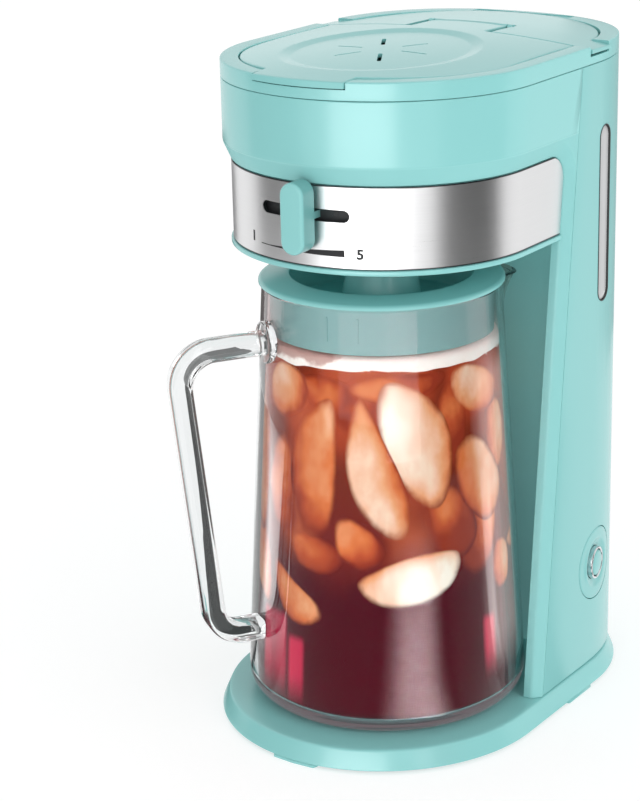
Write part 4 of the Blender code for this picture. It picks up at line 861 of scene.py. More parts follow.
def strengthKnob():
    half = knobSpec["height"] / 2
    radius = knobSpec["width"] / 2
    edge = knobSpec["edge"]
    face = -(leverReach + knobSpec["standOff"] + knobSpec["depth"])
    back = -(leverReach + knobSpec["standOff"])
    profile = [(edge + 0.0026, face), (edge, face + 0.00006)]
    angles = [pi / 2 * k / 6 for k in range(1, 7)]
    profile += [(edge * (1 - sin(a)), face + edge * (1 - cos(a))) for a in angles]
    profile += [(0, back - 0.0006), (0.0006, back)]
    loops = []
    for inset, y in profile:
        outline = capsule(half - inset, radius - inset, 20)
        loops.append(placed(leverFrame, [(b, y, headSpec["slotZ"] + a) for a, b in outline]))
    form = Form().loft(loops)
    w = knobSpec["neckWidth"] / 2
    h = knobSpec["neckHeight"] / 2
    legY = -leverReach + headSpec["skirtInset"] - column["chamfer"] + headSpec["skirtWall"] + 0.0012
    section = [(x, headSpec["slotZ"] + z) for x, z in ((-w, -h), (w, -h), (w, h), (-w, h))]
    form.loft([placed(leverFrame, [(x, y - 0.0003, z) for x, z in section]) for y in (back, legY)])
    return form.object("strengthKnob", mintPaint("mintKnob", 0.0, knobShadeRule), 40)


knob = strengthKnob()
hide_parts("strength_knob")
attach(knob, "strength_lever")

stripSpec = {"spread": 31, "setBack": 0.0004, "thick": 0.00055, "half": 0.0042,
             "boss": 0.0016, "bossTurn": 9.5, "bossHole": 0.0004, "bossFace": 0.0003, "bossBack": -0.0002}


def slotStrip():
    # the dark strip that shuts the slot behind the knob, with its small round boss
    inner = headSpec["skirtInset"] - column["chamfer"] + headSpec["skirtWall"]
    outer = leverReach - inner - stripSpec["setBack"]
    back, half = outer - stripSpec["thick"], stripSpec["half"]
    sweep = [radians(stripSpec["spread"] * k / 40) for k in range(-40, 41)]
    loops = []
    for radius, z in rounded([(outer, -half), (outer, half), (back, half), (back, -half)], 0.0001, 2):
        level = headSpec["slotZ"] + z
        loops.append(placed(leverFrame, [(radius * sin(a), -radius * cos(a), level) for a in sweep]))
    form = Form().loft(loops, ring=True, closed=False)
    a = radians(stripSpec["bossTurn"])
    spot = leverFrame @ Vector((outer * sin(a), -outer * cos(a), headSpec["slotZ"]))
    out = (leverFrame.to_3x3() @ Vector((sin(a), -cos(a), 0)))
    turn = Matrix.Translation(spot) @ Vector((0, 0, 1)).rotation_difference(out).to_matrix().to_4x4()
    hole, rim, face, foot = (stripSpec[key] for key in ("bossHole", "boss", "bossFace", "bossBack"))
    form.turned(rounded([(hole, face, 0), (rim, face, 0.0002), (rim, foot, 0), (hole, foot, 0)], 0, 3),
                steps=32, matrix=turn)
    dark, light = colour(0.020, 0.021, 0.023), colour(0.045, 0.047, 0.05)
    return form.object("slotStrip", plainPaint("slotDark", dark, light, 0.38, 900.0, 0.1))


strip = slotStrip()
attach(strip, "strength_lever")
print("knob and slot")

rimSpec = {"foot": 0.3294, "top": 0.3380, "width": 0.0090, "skirt": 0.0028, "ledgeZ": 0.3338, "ledge": 0.0024,
           "ledgeWidth": 0.0030, "round": 0.0009, "lidGap": 0.0007, "crown": 0.0040, "crownY": 0.0350,
           "crownLong": 0.1120, "crownWide": 0.0715}
lidSpec = {"seamY": 0.0615, "wall": 0.0024, "foot": 0.3341, "tabHalf": 0.0252, "tabThick": 0.0030,
           "tabProud": 0.0007, "tongue": 0.0212, "lug": 0.0027, "hingeY": 0.0845, "hingeZ": 0.3393,
           "barrel": 0.0021, "bore": 0.00108, "tongueBore": 0.0013, "rearHingeY": 0.1362, "rearHingeZ": 0.3346,
           "rearBarrel": 0.0034, "rearHalf": 0.0290, "rearBore": 0.00148, "notch": 0.0009, "sideFront": 0.0619,
           "sideRear": 0.0812, "sideProud": 0.0007, "sideThick": 0.0034, "rearTrim": 0.0010, "dishY": 0.0005,
           "dishHalf": 0.0470, "dishLong": 0.0540, "slope": 0.0065, "recess": 0.0014, "floor": 0.0018,
           "edge": 0.0006, "vent": (0.0021, 0.0280), "line": (0.0012, 0.0252), "ventIn": 0.0110,
           "lineDepth": 0.0010, "outShares": (0.12, 0.25, 0.4, 0.55, 0.7, 0.82, 0.92, 1.0),
           "plainShares": (0.02, 0.3, 0.6, 1.0), "dishShares": (0.02, 0.15, 0.30, 0.45, 0.60, 0.70, 0.78, 0.83,
                                                                0.850, 0.862, 0.869, 0.875, 0.880, 0.886, 0.893,
                                                                0.905, 0.92, 0.94, 0.955, 0.97, 0.98, 0.986,
                                                                0.992, 0.997, 1.003, 1.009, 1.016, 1.03)}


def hingeLine(half, rear=False):
    # both ends of a hinge's level middle line
    y = lidSpec["rearHingeY" if rear else "hingeY"]
    z = lidSpec["rearHingeZ" if rear else "hingeZ"]
    return (-half, y, z), (half, y, z)


def topRim():
    top = rimSpec["top"]
    wide = rimSpec["width"]
    ledge = wide + rimSpec["ledgeWidth"]
    foot, ledgeZ = rimSpec["foot"], rimSpec["ledgeZ"]
    profile = rounded([(0, foot, 0.0004), (0, top, rimSpec["round"]), (wide, top, 0.0005), (wide, ledgeZ, 0),
                       (ledge, ledgeZ, 0.0003), (ledge, ledgeZ - rimSpec["ledge"], 0.0003),
                       (rimSpec["skirt"], foot, 0)], 0, 4)
    loops = [atLevel(plan(inset), level) for inset, level in profile]
    item = Form().loft(loops, ring=True).object("topRim", mint)
    reach = body["halfWidth"] - wide - 0.0008
    hingeY, hingeZ, barrel = lidSpec["hingeY"], lidSpec["hingeZ"], lidSpec["barrel"]
    bar = boxCutter((-reach, hingeY - 0.0040, ledgeZ - 0.0034), (reach, hingeY + 0.0040, ledgeZ))
    lugs = []
    inner = lidSpec["tongue"] + 0.0006
    for side in (1, -1):
        low, high = sorted((side * inner, side * (inner + lidSpec["lug"])))
        lugs.append(boxCutter((low, hingeY - barrel, ledgeZ - 0.0017), (high, hingeY + barrel, hingeZ)))
        lugs.append(rodCutter(barrel, (low, hingeY, hingeZ), (high, hingeY, hingeZ), 32))
    item = carve(item, [bar] + lugs, "UNION")
    gap = 0.0006
    frontY = body["noseY"] - body["noseReach"]
    tabHalf = lidSpec["tabHalf"] + gap
    tab = boxCutter((-tabHalf, frontY - 0.009, top - lidSpec["tabThick"] - gap),
                    (tabHalf, frontY + 0.027, 0.35))
    notchZ = top - lidSpec["sideThick"] - gap - lidSpec["notch"]
    sides = []
    for side in (1, -1):
        low, high = sorted((side * (reach - 0.006), side * 0.1))
        sides.append(boxCutter((low, lidSpec["sideFront"] - gap, notchZ),
                               (high, lidSpec["sideRear"] + gap, 0.35)))
    half, rearY, rearBarrel = lidSpec["rearHalf"], lidSpec["rearHingeY"], lidSpec["rearBarrel"]
    hinge = boxCutter((-half, rearY - 0.0136, lidSpec["rearHingeZ"] - rearBarrel - gap),
                      (half, rearY + rearBarrel + 2 * gap, 0.35))
    bores = [rodCutter(lidSpec["bore"], *hingeLine(0.03), 24),
             rodCutter(lidSpec["rearBore"], *hingeLine(0.0333, True), 24)]
    return carve(item, [tab, hinge] + sides + bores)


rim = topRim()
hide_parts("top_rim")
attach(rim, "machine")
print("rim")


def crown(x, y):
    share = (x / rimSpec["crownWide"]) ** 2 + ((y - rimSpec["crownY"]) / rimSpec["crownLong"]) ** 2
    return rimSpec["top"] + rimSpec["crown"] * (1 - share)


def easing(t, soft=0.14):
    # a ramp whose foot is rounded
    if t < -soft:
        return 0.0
    return (t + soft) ** 2 / (4 * soft) if t < soft else t


def dishDepth(x, y):
    across = hypot(x / lidSpec["dishHalf"], (y - lidSpec["dishY"]) / lidSpec["dishLong"])
    t = (1 - across) / (lidSpec["slope"] / lidSpec["dishLong"])
    return lidSpec["recess"] * (easing(t) - easing(t - 1))


def dishedTop(x, y):
    return crown(x, y) - dishDepth(x, y)


def insetLoop(loop, distance):
    # moves a closed outline inwards by a distance, mitred at its corners
    made = []
    count = len(loop)
    area = sum(a[0] * b[1] - b[0] * a[1] for a, b in zip(loop, loop[1:] + loop[:1]))
    side = 1 if area > 0 else -1
    for index, point in enumerate(loop):
        here = Vector(point)
        before = (here - Vector(loop[index - 1])).normalized()
        after = (Vector(loop[(index + 1) % count]) - here).normalized()
        one = Vector((-before.y, before.x)) * side
        two = Vector((-after.y, after.x)) * side
        both = (one + two).normalized()
        made.append(tuple(here + both * (distance / max(0.5, both.dot(one)))))
    return made


def dense(outline, step=0.0016):
    # adds points on the long straights of a closed outline
    made = []
    for here, there in zip(outline, outline[1:] + outline[:1]):
        wide, deep = there[0] - here[0], there[1] - here[1]
        parts = max(1, round(hypot(wide, deep) / step))
        made += [(here[0] + wide * k / parts, here[1] + deep * k / parts) for k in range(parts)]
    return made


def lidSkin(outline, centre, height, ellipse, below):
    # a lid's plate: rings from its middle to its rounded edge, its side and its underside
    cx, cy = centre
    edge, recess, floor = lidSpec["edge"], lidSpec["recess"], lidSpec["floor"]
    loops = []
    for share in lidSpec["dishShares" if ellipse else "plainShares"]:
        loop = []
        for x, y in outline:
            dx, dy = x - cx, y - cy
            a, b = ellipse or (0.012, 0.010)
            scale = share / hypot(dx / a, dy / b)
            px, py = cx + dx * scale, cy + dy * scale
            loop.append((px, py, height(px, py)))
        loops.append(loop)
    last = [point[:2] for point in loops[-1]]
    rim = insetLoop(outline, edge)
    for share in lidSpec["outShares"]:
        loop = [(a[0] + (b[0] - a[0]) * share, a[1] + (b[1] - a[1]) * share) for a, b in zip(last, rim)]
        loops.append([(x, y, height(x, y)) for x, y in loop])
    for step in range(1, 6):
        angle = pi / 2 * step / 5
        loop = insetLoop(outline, edge * (1 - sin(angle)))
        loops.append([(x, y, height(x, y) - edge * (1 - cos(angle))) for x, y in loop])
    loops.append(atLevel(outline, below))
    for share, cap in ((0.04, below), (0.5, 1.0), (0.98, 1.0)):
        loop = [(x + (cx - x) * share, y + (cy - y) * share) for x, y in outline]
        loops.append([(x, y, min(cap, crown(x, y) - recess - floor)) for x, y in loop])
    return loops


def lidPlan(rear, inset=0.0):
    edge = rimSpec["width"] + rimSpec["lidGap"] + inset
    if rear:
        frontY = lidSpec["seamY"] + rimSpec["lidGap"] / 2 + inset
        half = body["halfWidth"] - edge
        line = [p for p in tailArc(edge, trim=lidSpec["rearTrim"]) if p[1] > frontY]
        return [(-half, frontY)] + line + [(half, frontY)]
    backY = lidSpec["seamY"] - rimSpec["lidGap"] / 2 - inset
    return nosePath(edge, backY)


def noseAt(x, proud):
    # how far forwards the nose's outline reaches over x
    return body["noseY"] - (body["noseReach"] + proud) * sqrt(1 - (x / (body["halfWidth"] + proud)) ** 2)


def lidWall(form, rear, top):
    # the wall that hangs under a lid's plate
    wall, foot = lidSpec["wall"], lidSpec["foot"]
    section = ((0, top), (0, foot), (wall, foot), (wall, top))
    form.loft([atLevel(lidPlan(rear, inset), z) for inset, z in section], ring=True)


def tubeForm(outer, inner, line, edge, steps):
    # a barrel with its bore, along a hinge's line
    start, end = line
    length = end[0] - start[0]
    tube = rounded([(outer, 0), (outer, length), (inner, length), (inner, 0)], edge, 2)
    return Form().turned(tube, steps=steps, matrix=rodFrame(start, end))


def frontLid():
    half = lidSpec["tabHalf"]
    line = lidPlan(False)
    outline = []
    added = False
    for x, y in line:
        if y < -0.03 and abs(x) < half:
            if not added:
                corner = noseAt(half, -rimSpec["width"] - rimSpec["lidGap"])
                across = [half * (1 - 2 * k / 24) for k in range(25)]
                face = [(x, noseAt(x, lidSpec["tabProud"])) for x in across]
                outline += [(half, corner)] + face + [(-half, corner)]
                added = True
            continue
        outline.append((x, y))
    tongue = lidSpec["tongue"]
    back = outline[-1][1]
    outline += [(-tongue, back), (-tongue, lidSpec["hingeY"]), (tongue, lidSpec["hingeY"]), (tongue, back)]
    outline = dense(outline)
    form = Form()
    ellipse = (lidSpec["dishHalf"], lidSpec["dishLong"])
    form.loft(lidSkin(outline, (0, lidSpec["dishY"]), dishedTop, ellipse, rimSpec["top"] - lidSpec["tabThick"]))
    lidWall(form, False, rimSpec["top"] - 0.0031)
    item = form.object("frontLid", mint)
    cutters = []
    for index in range(6):   # two slots right through and four shallow lines
        through = index in (2, 5)
        wide, out = lidSpec["vent" if through else "line"]
        length = (out - lidSpec["ventIn"]) / 2
        turn = Matrix.Translation((0, lidSpec["dishY"], 0)) @ Matrix.Rotation(pi / 3 * index, 4, "Z")
        turn = turn @ Matrix.Translation((lidSpec["ventIn"] + length, 0, 0))
        middle = turn @ Vector((0, 0, 0))
        shallow = crown(middle.x, middle.y) - lidSpec["recess"] - lidSpec["lineDepth"]
        foot = rimSpec["foot"] if through else shallow
        outline = capsule(length, wide / 2, 8)
        cutters.append(cutterFrom(Form().loft([placed(turn, atLevel(outline, z)) for z in (foot, 0.35)])))
    cutters.append(rodCutter(lidSpec["tongueBore"], *hingeLine(tongue + 0.001), 24))
    item = carve(item, cutters, crease=32)
    barrel = tubeForm(lidSpec["barrel"], lidSpec["bore"], hingeLine(tongue), 0.0002, 32)
    return item, barrel.object("frontBarrel", mint)


for piece in frontLid():
    if piece.name.startswith("frontLid"):
        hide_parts("front_lid")
    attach(piece, "front_lid")


def rearLid():
    line = lidPlan(True)
    outer = body["halfWidth"] + lidSpec["sideProud"]
    rearY = lidSpec["sideRear"]
    frontY = line[0][1]
    inner = sideX(rearY) - rimSpec["width"] - rimSpec["lidGap"]
    outline = [(-outer, frontY), (-outer, rearY), (-inner, rearY)] + [p for p in line if p[1] > rearY + 0.0006]
    outline += [(inner, rearY), (outer, rearY), (outer, frontY)]
    form = Form()
    form.loft(lidSkin(dense(outline), (0, 0.0750), crown, None, rimSpec["top"] - lidSpec["sideThick"]))
    lidWall(form, True, rimSpec["top"] - 0.0035)
    reach = lidSpec["rearHalf"] - 0.0006
    hingeY = lidSpec["rearHingeY"]
    item = form.object("rearLid", mint)
    half = lidSpec["tongue"] + lidSpec["lug"] + 0.0012
    notch = boxCutter((-half, lidSpec["seamY"] - 0.009, rimSpec["foot"]),
                      (half, lidSpec["hingeY"] + lidSpec["barrel"] + 0.0006, 0.36))
    item = carve(item, [notch], crease=32)
    form = tubeForm(lidSpec["rearBarrel"], lidSpec["rearBore"], hingeLine(reach, True), 0.0003, 48)
    form.box((-reach, hingeY - 0.0102, lidSpec["foot"]), (reach, hingeY - 0.0030, rimSpec["top"] - 0.0004))
    return item, form.object("rearBarrel", mint)


for piece in rearLid():
    if piece.name.startswith("rearLid"):
        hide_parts("rear_lid")
    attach(piece, "rear_lid")
print("lids")


def levelWindow():
    proud = windowSpec["proud"]
    half = windowSpec["width"] / 2
    shares = (0.98, 0.85, 0.7, 0.55, 0.4, 0.25, 0.12, 0.05)
    rows = [(half * share, proud - windowSpec["crown"] * (1 - share) ** 2) for share in shares]
    rows += [(0, proud - windowSpec["crown"] * 1.25), (0, -windowSpec["depth"])]
    return Form().loft([windowLoop(-inset, z) for inset, z in rows]).object("levelWindow", frosted, 50)


def windowGasket():
    rows = [(0.00005, 0.0002), (0.0005, 0.0002), (0.0005, -0.0018), (0.00005, -0.0018)]
    return Form().loft([windowLoop(grow, z) for grow, z in rows], ring=True).object("windowGasket", gasket)


pane = levelWindow()
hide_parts("level_window")
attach(pane, "machine")
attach(windowGasket(), "machine")


def buttonSurround():
    # follows the flank at its rim and dishes in towards the ring
    ring = buttonSpec["ring"] + 0.0003
    outer = buttonSpec["surround"]
    dish = buttonSpec["dish"]
    low = -buttonSpec["thick"]
    rows = [(outer, -0.0012, 1), (outer, -0.0005, 1), (outer - 0.00012, -0.0002, 1), (outer - 0.0004, 0.0, 1),
            (outer - 0.002, 0, 1)]
    rows += [(dish + 0.0018, 0, 1), (dish + 0.0009, -0.00004, 0.9), (dish + 0.0003, -0.00022, 0.6),
             (dish - 0.0003, -0.0006, 0.2)]
    rows += [(dish - 0.0012, -0.0009, 0), (ring + 0.0006, -0.0017, 0), (ring + 0.0001, -0.0018, 0),
             (ring, -0.0022, 0)]
    rows += [(ring, low, 0), (outer - 0.0010, low, 0), (outer, low + 0.001, 0.4)]
    loops = []
    for radius, depth, follow in rows:
        loop = []
        for step in range(96):
            angle = 2 * pi * step / 96
            local = Vector((radius * cos(angle), radius * sin(angle), 0))
            spot = buttonFrame @ local
            skin = Vector((sideX(spot.y), spot.y, spot.z))
            spot = spot.lerp(skin, follow)
            out = buttonFrame.to_3x3() @ Vector((0, 0, 1))
            loop.append(spot + out * depth)
        loops.append(loop)
    return Form().loft(loops, ring=True).object("buttonSurround", mint, 50)


surround = buttonSurround()
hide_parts("button_surround")
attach(surround, "machine")


def buttonRing():
    ring = buttonSpec["ring"]
    inner = ring - buttonSpec["ringWall"]
    tube = [(inner, 0.0006, 0.0003), ((inner + ring) / 2, 0.0010, 0.0004), (ring, 0.0006, 0.0003),
            (ring, -0.0092, 0), (inner, -0.0092, 0)]
    return Form().turned(rounded(tube, 0, 4), matrix=buttonFrame).object("buttonRing", chrome)


def buttonCap():
    radius = buttonSpec["cap"]
    rows = [(0.0003, 0.0017), (radius * 0.35, 0.00162), (radius * 0.62, 0.00143), (radius * 0.8, 0.0012),
            (radius - 0.0007, 0.00095), (radius - 0.0003, 0.0007), (radius - 0.00006, 0.0004), (radius, 0.0),
            (radius, -0.0044), (0.0030, -0.0044), (0.0030, -0.0076), (0.0003, -0.0076)]
    return Form().turned(rows, matrix=buttonFrame, ring=False).object("buttonCap", mint, 50)


chromeRing = buttonRing()
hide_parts("button_ring")
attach(chromeRing, "machine")
cap = buttonCap()
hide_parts("power_button")
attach(cap, "power_button")
print("window and button")

jugSpec = {"y": jugMiddleY, "wall": 0.0030, "floor": 0.0045, "foot": 0.0600, "round": 0.0120, "floorZ": 0.0118,
           "wideZ": 0.0250, "wide": 0.0714, "topZ": 0.2276, "top": 0.0592, "spout": 56.8, "spoutReach": 0.0135,
           "spoutHalf": 26.0, "droop": 0.0030, "spoutZ": 0.1950, "steps": 168}


def jugSide(level):
    share = (level - jugSpec["wideZ"]) / (jugSpec["topZ"] - jugSpec["wideZ"])
    return jugSpec["wide"] + (jugSpec["top"] - jugSpec["wide"]) * max(0, share)


def jugOuter(level):
    if level < jugSpec["floorZ"] + jugSpec["round"]:
        share = 1 - (level - jugSpec["floorZ"]) / jugSpec["round"]
        return jugSpec["foot"] + (jugSide(level) - jugSpec["foot"]) * sqrt(max(0, 1 - share * share))
    return jugSide(level)


def jugInner(level, wall=None):
    wall = wall or jugSpec["wall"]
    floor = jugSpec["floorZ"] + jugSpec["floor"]
    share = max(0, 1 - (level - floor) / (jugSpec["round"] - jugSpec["floor"]))
    side = jugSide(level) - wall
    foot = jugSpec["foot"] - wall
    return foot + (side - foot) * sqrt(max(0, 1 - share * share))


def jugLoop(radius, level, lip):
    points = []
    for step in range(jugSpec["steps"]):
        angle = 2 * pi * step / jugSpec["steps"]
        off = abs((angle - radians(jugSpec["spout"]) + pi) % (2 * pi) - pi)
        half = radians(jugSpec["spoutHalf"])
        pull = cos(pi / 2 * off / half) ** 2 if off < half else 0
        reach = radius + lip * pull * jugSpec["spoutReach"]
        drop = lip * pull * jugSpec["droop"]
        points.append((reach * cos(angle), jugSpec["y"] + reach * sin(angle), level - drop))
    return points


def jugLevels(foot):
    knee = jugSpec["floorZ"] + jugSpec["round"]
    curve = [foot + (knee - foot) * (1 - cos(pi / 2 * step / 10)) for step in range(11)]
    low, high = jugSpec["spoutZ"], jugSpec["topZ"] - 0.0010
    straight = [knee + (low - knee) * step / 8 for step in range(1, 9)]
    lip = [low + (high - low) * step / 14 for step in range(1, 15)]
    return curve + straight + lip


def lipShare(level):
    share = max(0, (level - jugSpec["spoutZ"]) / (jugSpec["topZ"] - jugSpec["spoutZ"]))
    return share * share


def pitcherJug():
    floor = jugSpec["floorZ"] + jugSpec["floor"]
    rows = [(r, jugSpec["floorZ"], 0) for r in (0.006, 0.030, 0.052)]
    rows += [(jugOuter(z), z, lipShare(z)) for z in jugLevels(jugSpec["floorZ"])]
    top = jugSpec["topZ"]
    middle = jugSpec["top"] - jugSpec["wall"] / 2
    for step in range(7):
        angle = pi * step / 6
        rows.append((middle + jugSpec["wall"] / 2 * cos(angle), top - 0.0010 + 0.0010 * sin(angle), 1.0))
    rows += [(jugInner(z), z, lipShare(z)) for z in reversed(jugLevels(floor))]
    rows += [(r, floor, 0) for r in (0.050, 0.030, 0.006)]
    return Form().loft([jugLoop(*row) for row in rows]).object("pitcherJug", jugClear, 60)


jug = pitcherJug()
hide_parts("pitcher_jug")
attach(jug, "pitcher")

handleSpec = {"turn": 236.8, "thick": 0.0106, "wide": 0.0140, "soft": 0.0036, "armZ": 0.2030, "footZ": 0.0542,
              "reachTop": 0.1088, "reachFoot": 0.0933, "cornerTop": 0.0170, "cornerFoot": 0.0150, "pad": 0.0105,
              "padThick": 0.0030}


def filleted(corners, radius, steps=14):
    corners = [Vector(corner) for corner in corners]
    path = [corners[0]]
    for before, corner, after in zip(corners, corners[1:], corners[2:]):
        into = (corner - before).normalized()
        out = (after - corner).normalized()
        turn = into.angle(out)
        centre = corner + (out - into).normalized() * (radius / cos(turn / 2))
        start = corner - into * radius * sin(turn / 2) / cos(turn / 2)
        spin = into.cross(out).normalized()
        for step in range(steps + 1):
            path.append(centre + Matrix.Rotation(turn * step / steps, 3, spin) @ (start - centre))
    path.append(corners[-1])
    return path


def pitcherHandle():
    spec = handleSpec
    wallTop = jugSide(spec["armZ"]) - jugSpec["wall"]
    wallFoot = jugSide(spec["footZ"]) - jugSpec["wall"]
    corners = [(wallTop, 0, spec["armZ"]), (spec["reachTop"], 0, spec["armZ"]),
               (spec["reachFoot"], 0, spec["footZ"]), (wallFoot, 0, spec["footZ"])]
    upper = filleted(corners[:3], spec["cornerTop"])
    lower = filleted(corners[1:], spec["cornerFoot"])
    path = upper[:-1] + lower[1:]
    half = spec["thick"] / 2
    wide = spec["wide"] / 2
    section = rounded([(half, -wide), (half, wide), (-half, wide), (-half, -wide)], spec["soft"], 6)
    loops = []
    for index, point in enumerate(path):
        before = path[max(index - 1, 0)]
        after = path[min(index + 1, len(path) - 1)]
        along = (after - before).normalized()
        out = Vector((along.z, 0, -along.x))
        loops.append([point - out * thick + Vector((0, across, 0)) for thick, across in section])
    turn = Matrix.Translation((0, jugSpec["y"], 0)) @ spun(spec["turn"])
    bar = Form().loft([placed(turn, loop) for loop in loops]).object("pitcherHandle", handleClear)
    start = turn @ Vector((wallTop, 0, spec["armZ"]))
    end = turn @ Vector((jugSide(spec["armZ"]) + spec["padThick"], 0, spec["armZ"]))
    length = (end - start).length
    disc = rounded([(0.0005, 0, 0), (spec["pad"], 0, 0), (spec["pad"], length, 0.0011), (0.0005, length, 0)], 0,
                   4)
    pad = cutterFrom(Form().turned(disc, steps=64, ring=False, matrix=rodFrame(start, end)))
    item = carve(bar, [pad], "UNION", 50)
    levels = (jugSpec["topZ"], jugSpec["wideZ"], jugSpec["floorZ"])
    side = [(jugSide(level) + 0.0003, level) for level in levels]
    profile = [(0.0005, levels[0])] + side + [(0.0005, levels[2])]
    core = cutterFrom(Form().turned(profile, (0, jugSpec["y"], 0), 160, ring=False))
    return carve(item, [core], crease=50)


handle = pitcherHandle()
handle.data.materials.clear()
handle.data.materials.append(handleClear)
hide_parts("pitcher_handle")
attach(handle, "pitcher")
print("jug and handle")

jugLidSpec = {"radius": 0.0608, "z": 0.2303, "foot": 0.2279, "well": 0.0454, "wellTop": 0.2319,
              "wellFoot": 0.0440, "wellZ": 0.2160, "wall": 0.0020, "skirtFoot": 0.2045, "skirtGap": 0.0009,
              "bossFoot": 0.0205, "bossTop": 0.0158, "bossZ": 0.2400, "bore": 0.0080}


def pitcherLid():
    s = jugLidSpec
    skirt = jugSpec["top"] - jugSpec["wall"] - s["skirtGap"]
    wall, edge, foot, top, well = s["wall"], s["radius"], s["foot"], s["z"], s["well"]
    wellTop, wellZ, bossZ = s["wellTop"], s["wellZ"], s["bossZ"]
    profile = [(well, wellTop, 0.0006), (well + 0.0022, wellTop - 0.0001, 0.0006), (edge - 0.0012, top, 0.0008),
               (edge, top - 0.0009, 0.0006), (edge, foot, 0.0004), (skirt, foot, 0.0003),
               (skirt, s["skirtFoot"], 0.0005), (skirt - wall, s["skirtFoot"], 0.0005),
               (skirt - wall, top - wall, 0.0005), (well + wall, wellTop - wall, 0.0005),
               (s["wellFoot"] + wall, wellZ - wall, 0.0010), (s["bossFoot"] - wall, wellZ - wall, 0.0010),
               (s["bossTop"] - wall, bossZ - wall, 0.0005), (s["bore"], bossZ - wall, 0.0004),
               (s["bore"], bossZ, 0.0004), (s["bossTop"], bossZ, 0.0008), (s["bossFoot"], wellZ, 0.0016),
               (s["wellFoot"], wellZ, 0.0016)]
    form = Form().turned(rounded(profile, 0, 4), (0, jugSpec["y"], 0), 144)
    for angle in (-85.0, -69.0):   # two short ribs on the skirt's outside
        a = radians(angle)
        out = Vector((cos(a), sin(a), 0))
        side = Vector((-sin(a), cos(a), 0))
        spot = Vector((0, jugSpec["y"], 0)) + out * (skirt - 0.0004)
        section = [spot + side * u + out * v for u, v in ((-0.0005, 0), (0.0005, 0), (0.0005, 0.0009),
                                                          (-0.0005, 0.0009))]
        form.loft([[point + Vector((0, 0, z)) for point in section] for z in (0.2105, 0.2225)])
    return form.object("pitcherLid", mint)


jugLid = pitcherLid()
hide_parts("pitcher_lid")
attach(jugLid, "pitcher_lid")

teaSpec = {"gap": 0.00045, "top": 0.1975, "glow": 0.20, "low": colour(0.062, 0.0030, 0.0090),
           "mid": colour(0.150, 0.016, 0.014), "high": colour(0.350, 0.046, 0.018),
           "amber": colour(0.50, 0.105, 0.038), "pinkGlint": colour(0.56, 0.022, 0.072),
           "dark": colour(0.045, 0.010, 0.006), "glintStreaks": ((-121, -105, 0.020, 0.070),
                                                            (-103, -95, 0.018, 0.060), (-11, -4, 0.030, 0.068)),
           "ice": ((0.0, colour(0.26, 0.034, 0.016)), (0.16, colour(0.44, 0.075, 0.026)),
                   (0.34, colour(0.63, 0.170, 0.055)), (0.52, colour(0.72, 0.310, 0.150)),
                   (0.70, colour(0.80, 0.500, 0.350)), (0.86, colour(0.86, 0.690, 0.550)),
                   (1.0, colour(0.92, 0.850, 0.740)))}


def teaPaint():
    # wine red at the bottom and amber above, with painted pink glints; ice carries its own colour in two
    # attributes, one of them also a painted light side; the tea and ice glow in their own colour, which is
    # painted light
    paint = Paint("tea", {"Roughness": 0.5, "Emission Strength": teaSpec["glow"], "Specular IOR Level": 0.0})
    x, y, z = paint.axes()
    cloud = paint.noise(26.0, 4.0, (1, 1, 0.7), 0.6)
    tall = z + (cloud - 0.5) * 0.034
    shade = paint.mix(paint.slide(tall, 0.084, 0.110), teaSpec["low"], teaSpec["mid"])
    shade = paint.mix(paint.slide(tall, 0.112, 0.170), shade, teaSpec["high"])
    place = paint.place()
    push = paint.node("ShaderNodeVectorMath", {"operation": "SCALE"},
                      {0: paint.noise(30.0, 2.0, out=1), "Scale": 0.018})
    bent = paint.node("ShaderNodeVectorMath", {"operation": "MULTIPLY_ADD"},
                      {0: place, 1: (1, 1, 0.55), 2: push})
    lump = paint.node("ShaderNodeTexVoronoi", {"feature": "SMOOTH_F1"},
                      {"Vector": bent, "Scale": 34.0, "Smoothness": 0.35})
    pick = paint.node("ShaderNodeSeparateColor", {}, {0: Wire(paint.tree, lump.socket.node.outputs["Color"])})
    deep = paint.fade(lump, 0.18, 0.62) * paint.slide(z, 0.092, 0.120)
    shade = paint.mix(deep * pick * 0.9, shade, teaSpec["amber"])
    shade = paint.mix(paint.slide(lump, 0.42, 0.70) * paint.slide(z, 0.110, 0.150) * 0.5, shade,
                      teaSpec["dark"])
    angle = roundJug(x, y)
    glintGrain = paint.noise(90.0, 3.0, (1, 1, 0.07))
    # painted glints: pink upright streaks, standing in for light refracted through the jug's sides
    for low, high, foot, top in teaSpec["glintStreaks"]:
        wide = paint.between(angle, (low - 1.5, low + 1.5), (high - 1.5, high + 1.5))
        tall = paint.between(z, (foot, foot + 0.022), (top - 0.006, top))
        shade = paint.mix(wide * tall * (0.10 + glintGrain * 1.5), shade, teaSpec["pinkGlint"])
    core = paint.node("ShaderNodeAttribute", {"attribute_name": "core"}, out="Fac")
    frost = paint.node("ShaderNodeAttribute", {"attribute_name": "frost"}, out="Fac")
    grain = paint.noise(110.0, 4.0, (1, 1, 0.6), rough=0.65)
    vein = paint.noise(150.0, 5.0, (1, 1, 0.75), rough=0.75)
    depth = frost + (grain - 0.5) * 0.22
    depth = depth + (paint.noise(55.0, 2.0, (1, 1, 0.6)) - 0.5) * 0.55 + (vein - 0.5) * 0.22
    ice = paint.node("ShaderNodeValToRGB", {"stops": teaSpec["ice"]}, {"Fac": depth})
    shade = paint.mix(paint.slide(core + (grain - 0.5) * 0.20, 0.02, 0.22), shade, ice)
    paint.use("Base Color", shade)
    # painted light: the tea and ice glow in their own colour
    paint.use("Emission Color", shade)
    paint.bump(grain, 0.12, 0.001)
    return paint.material


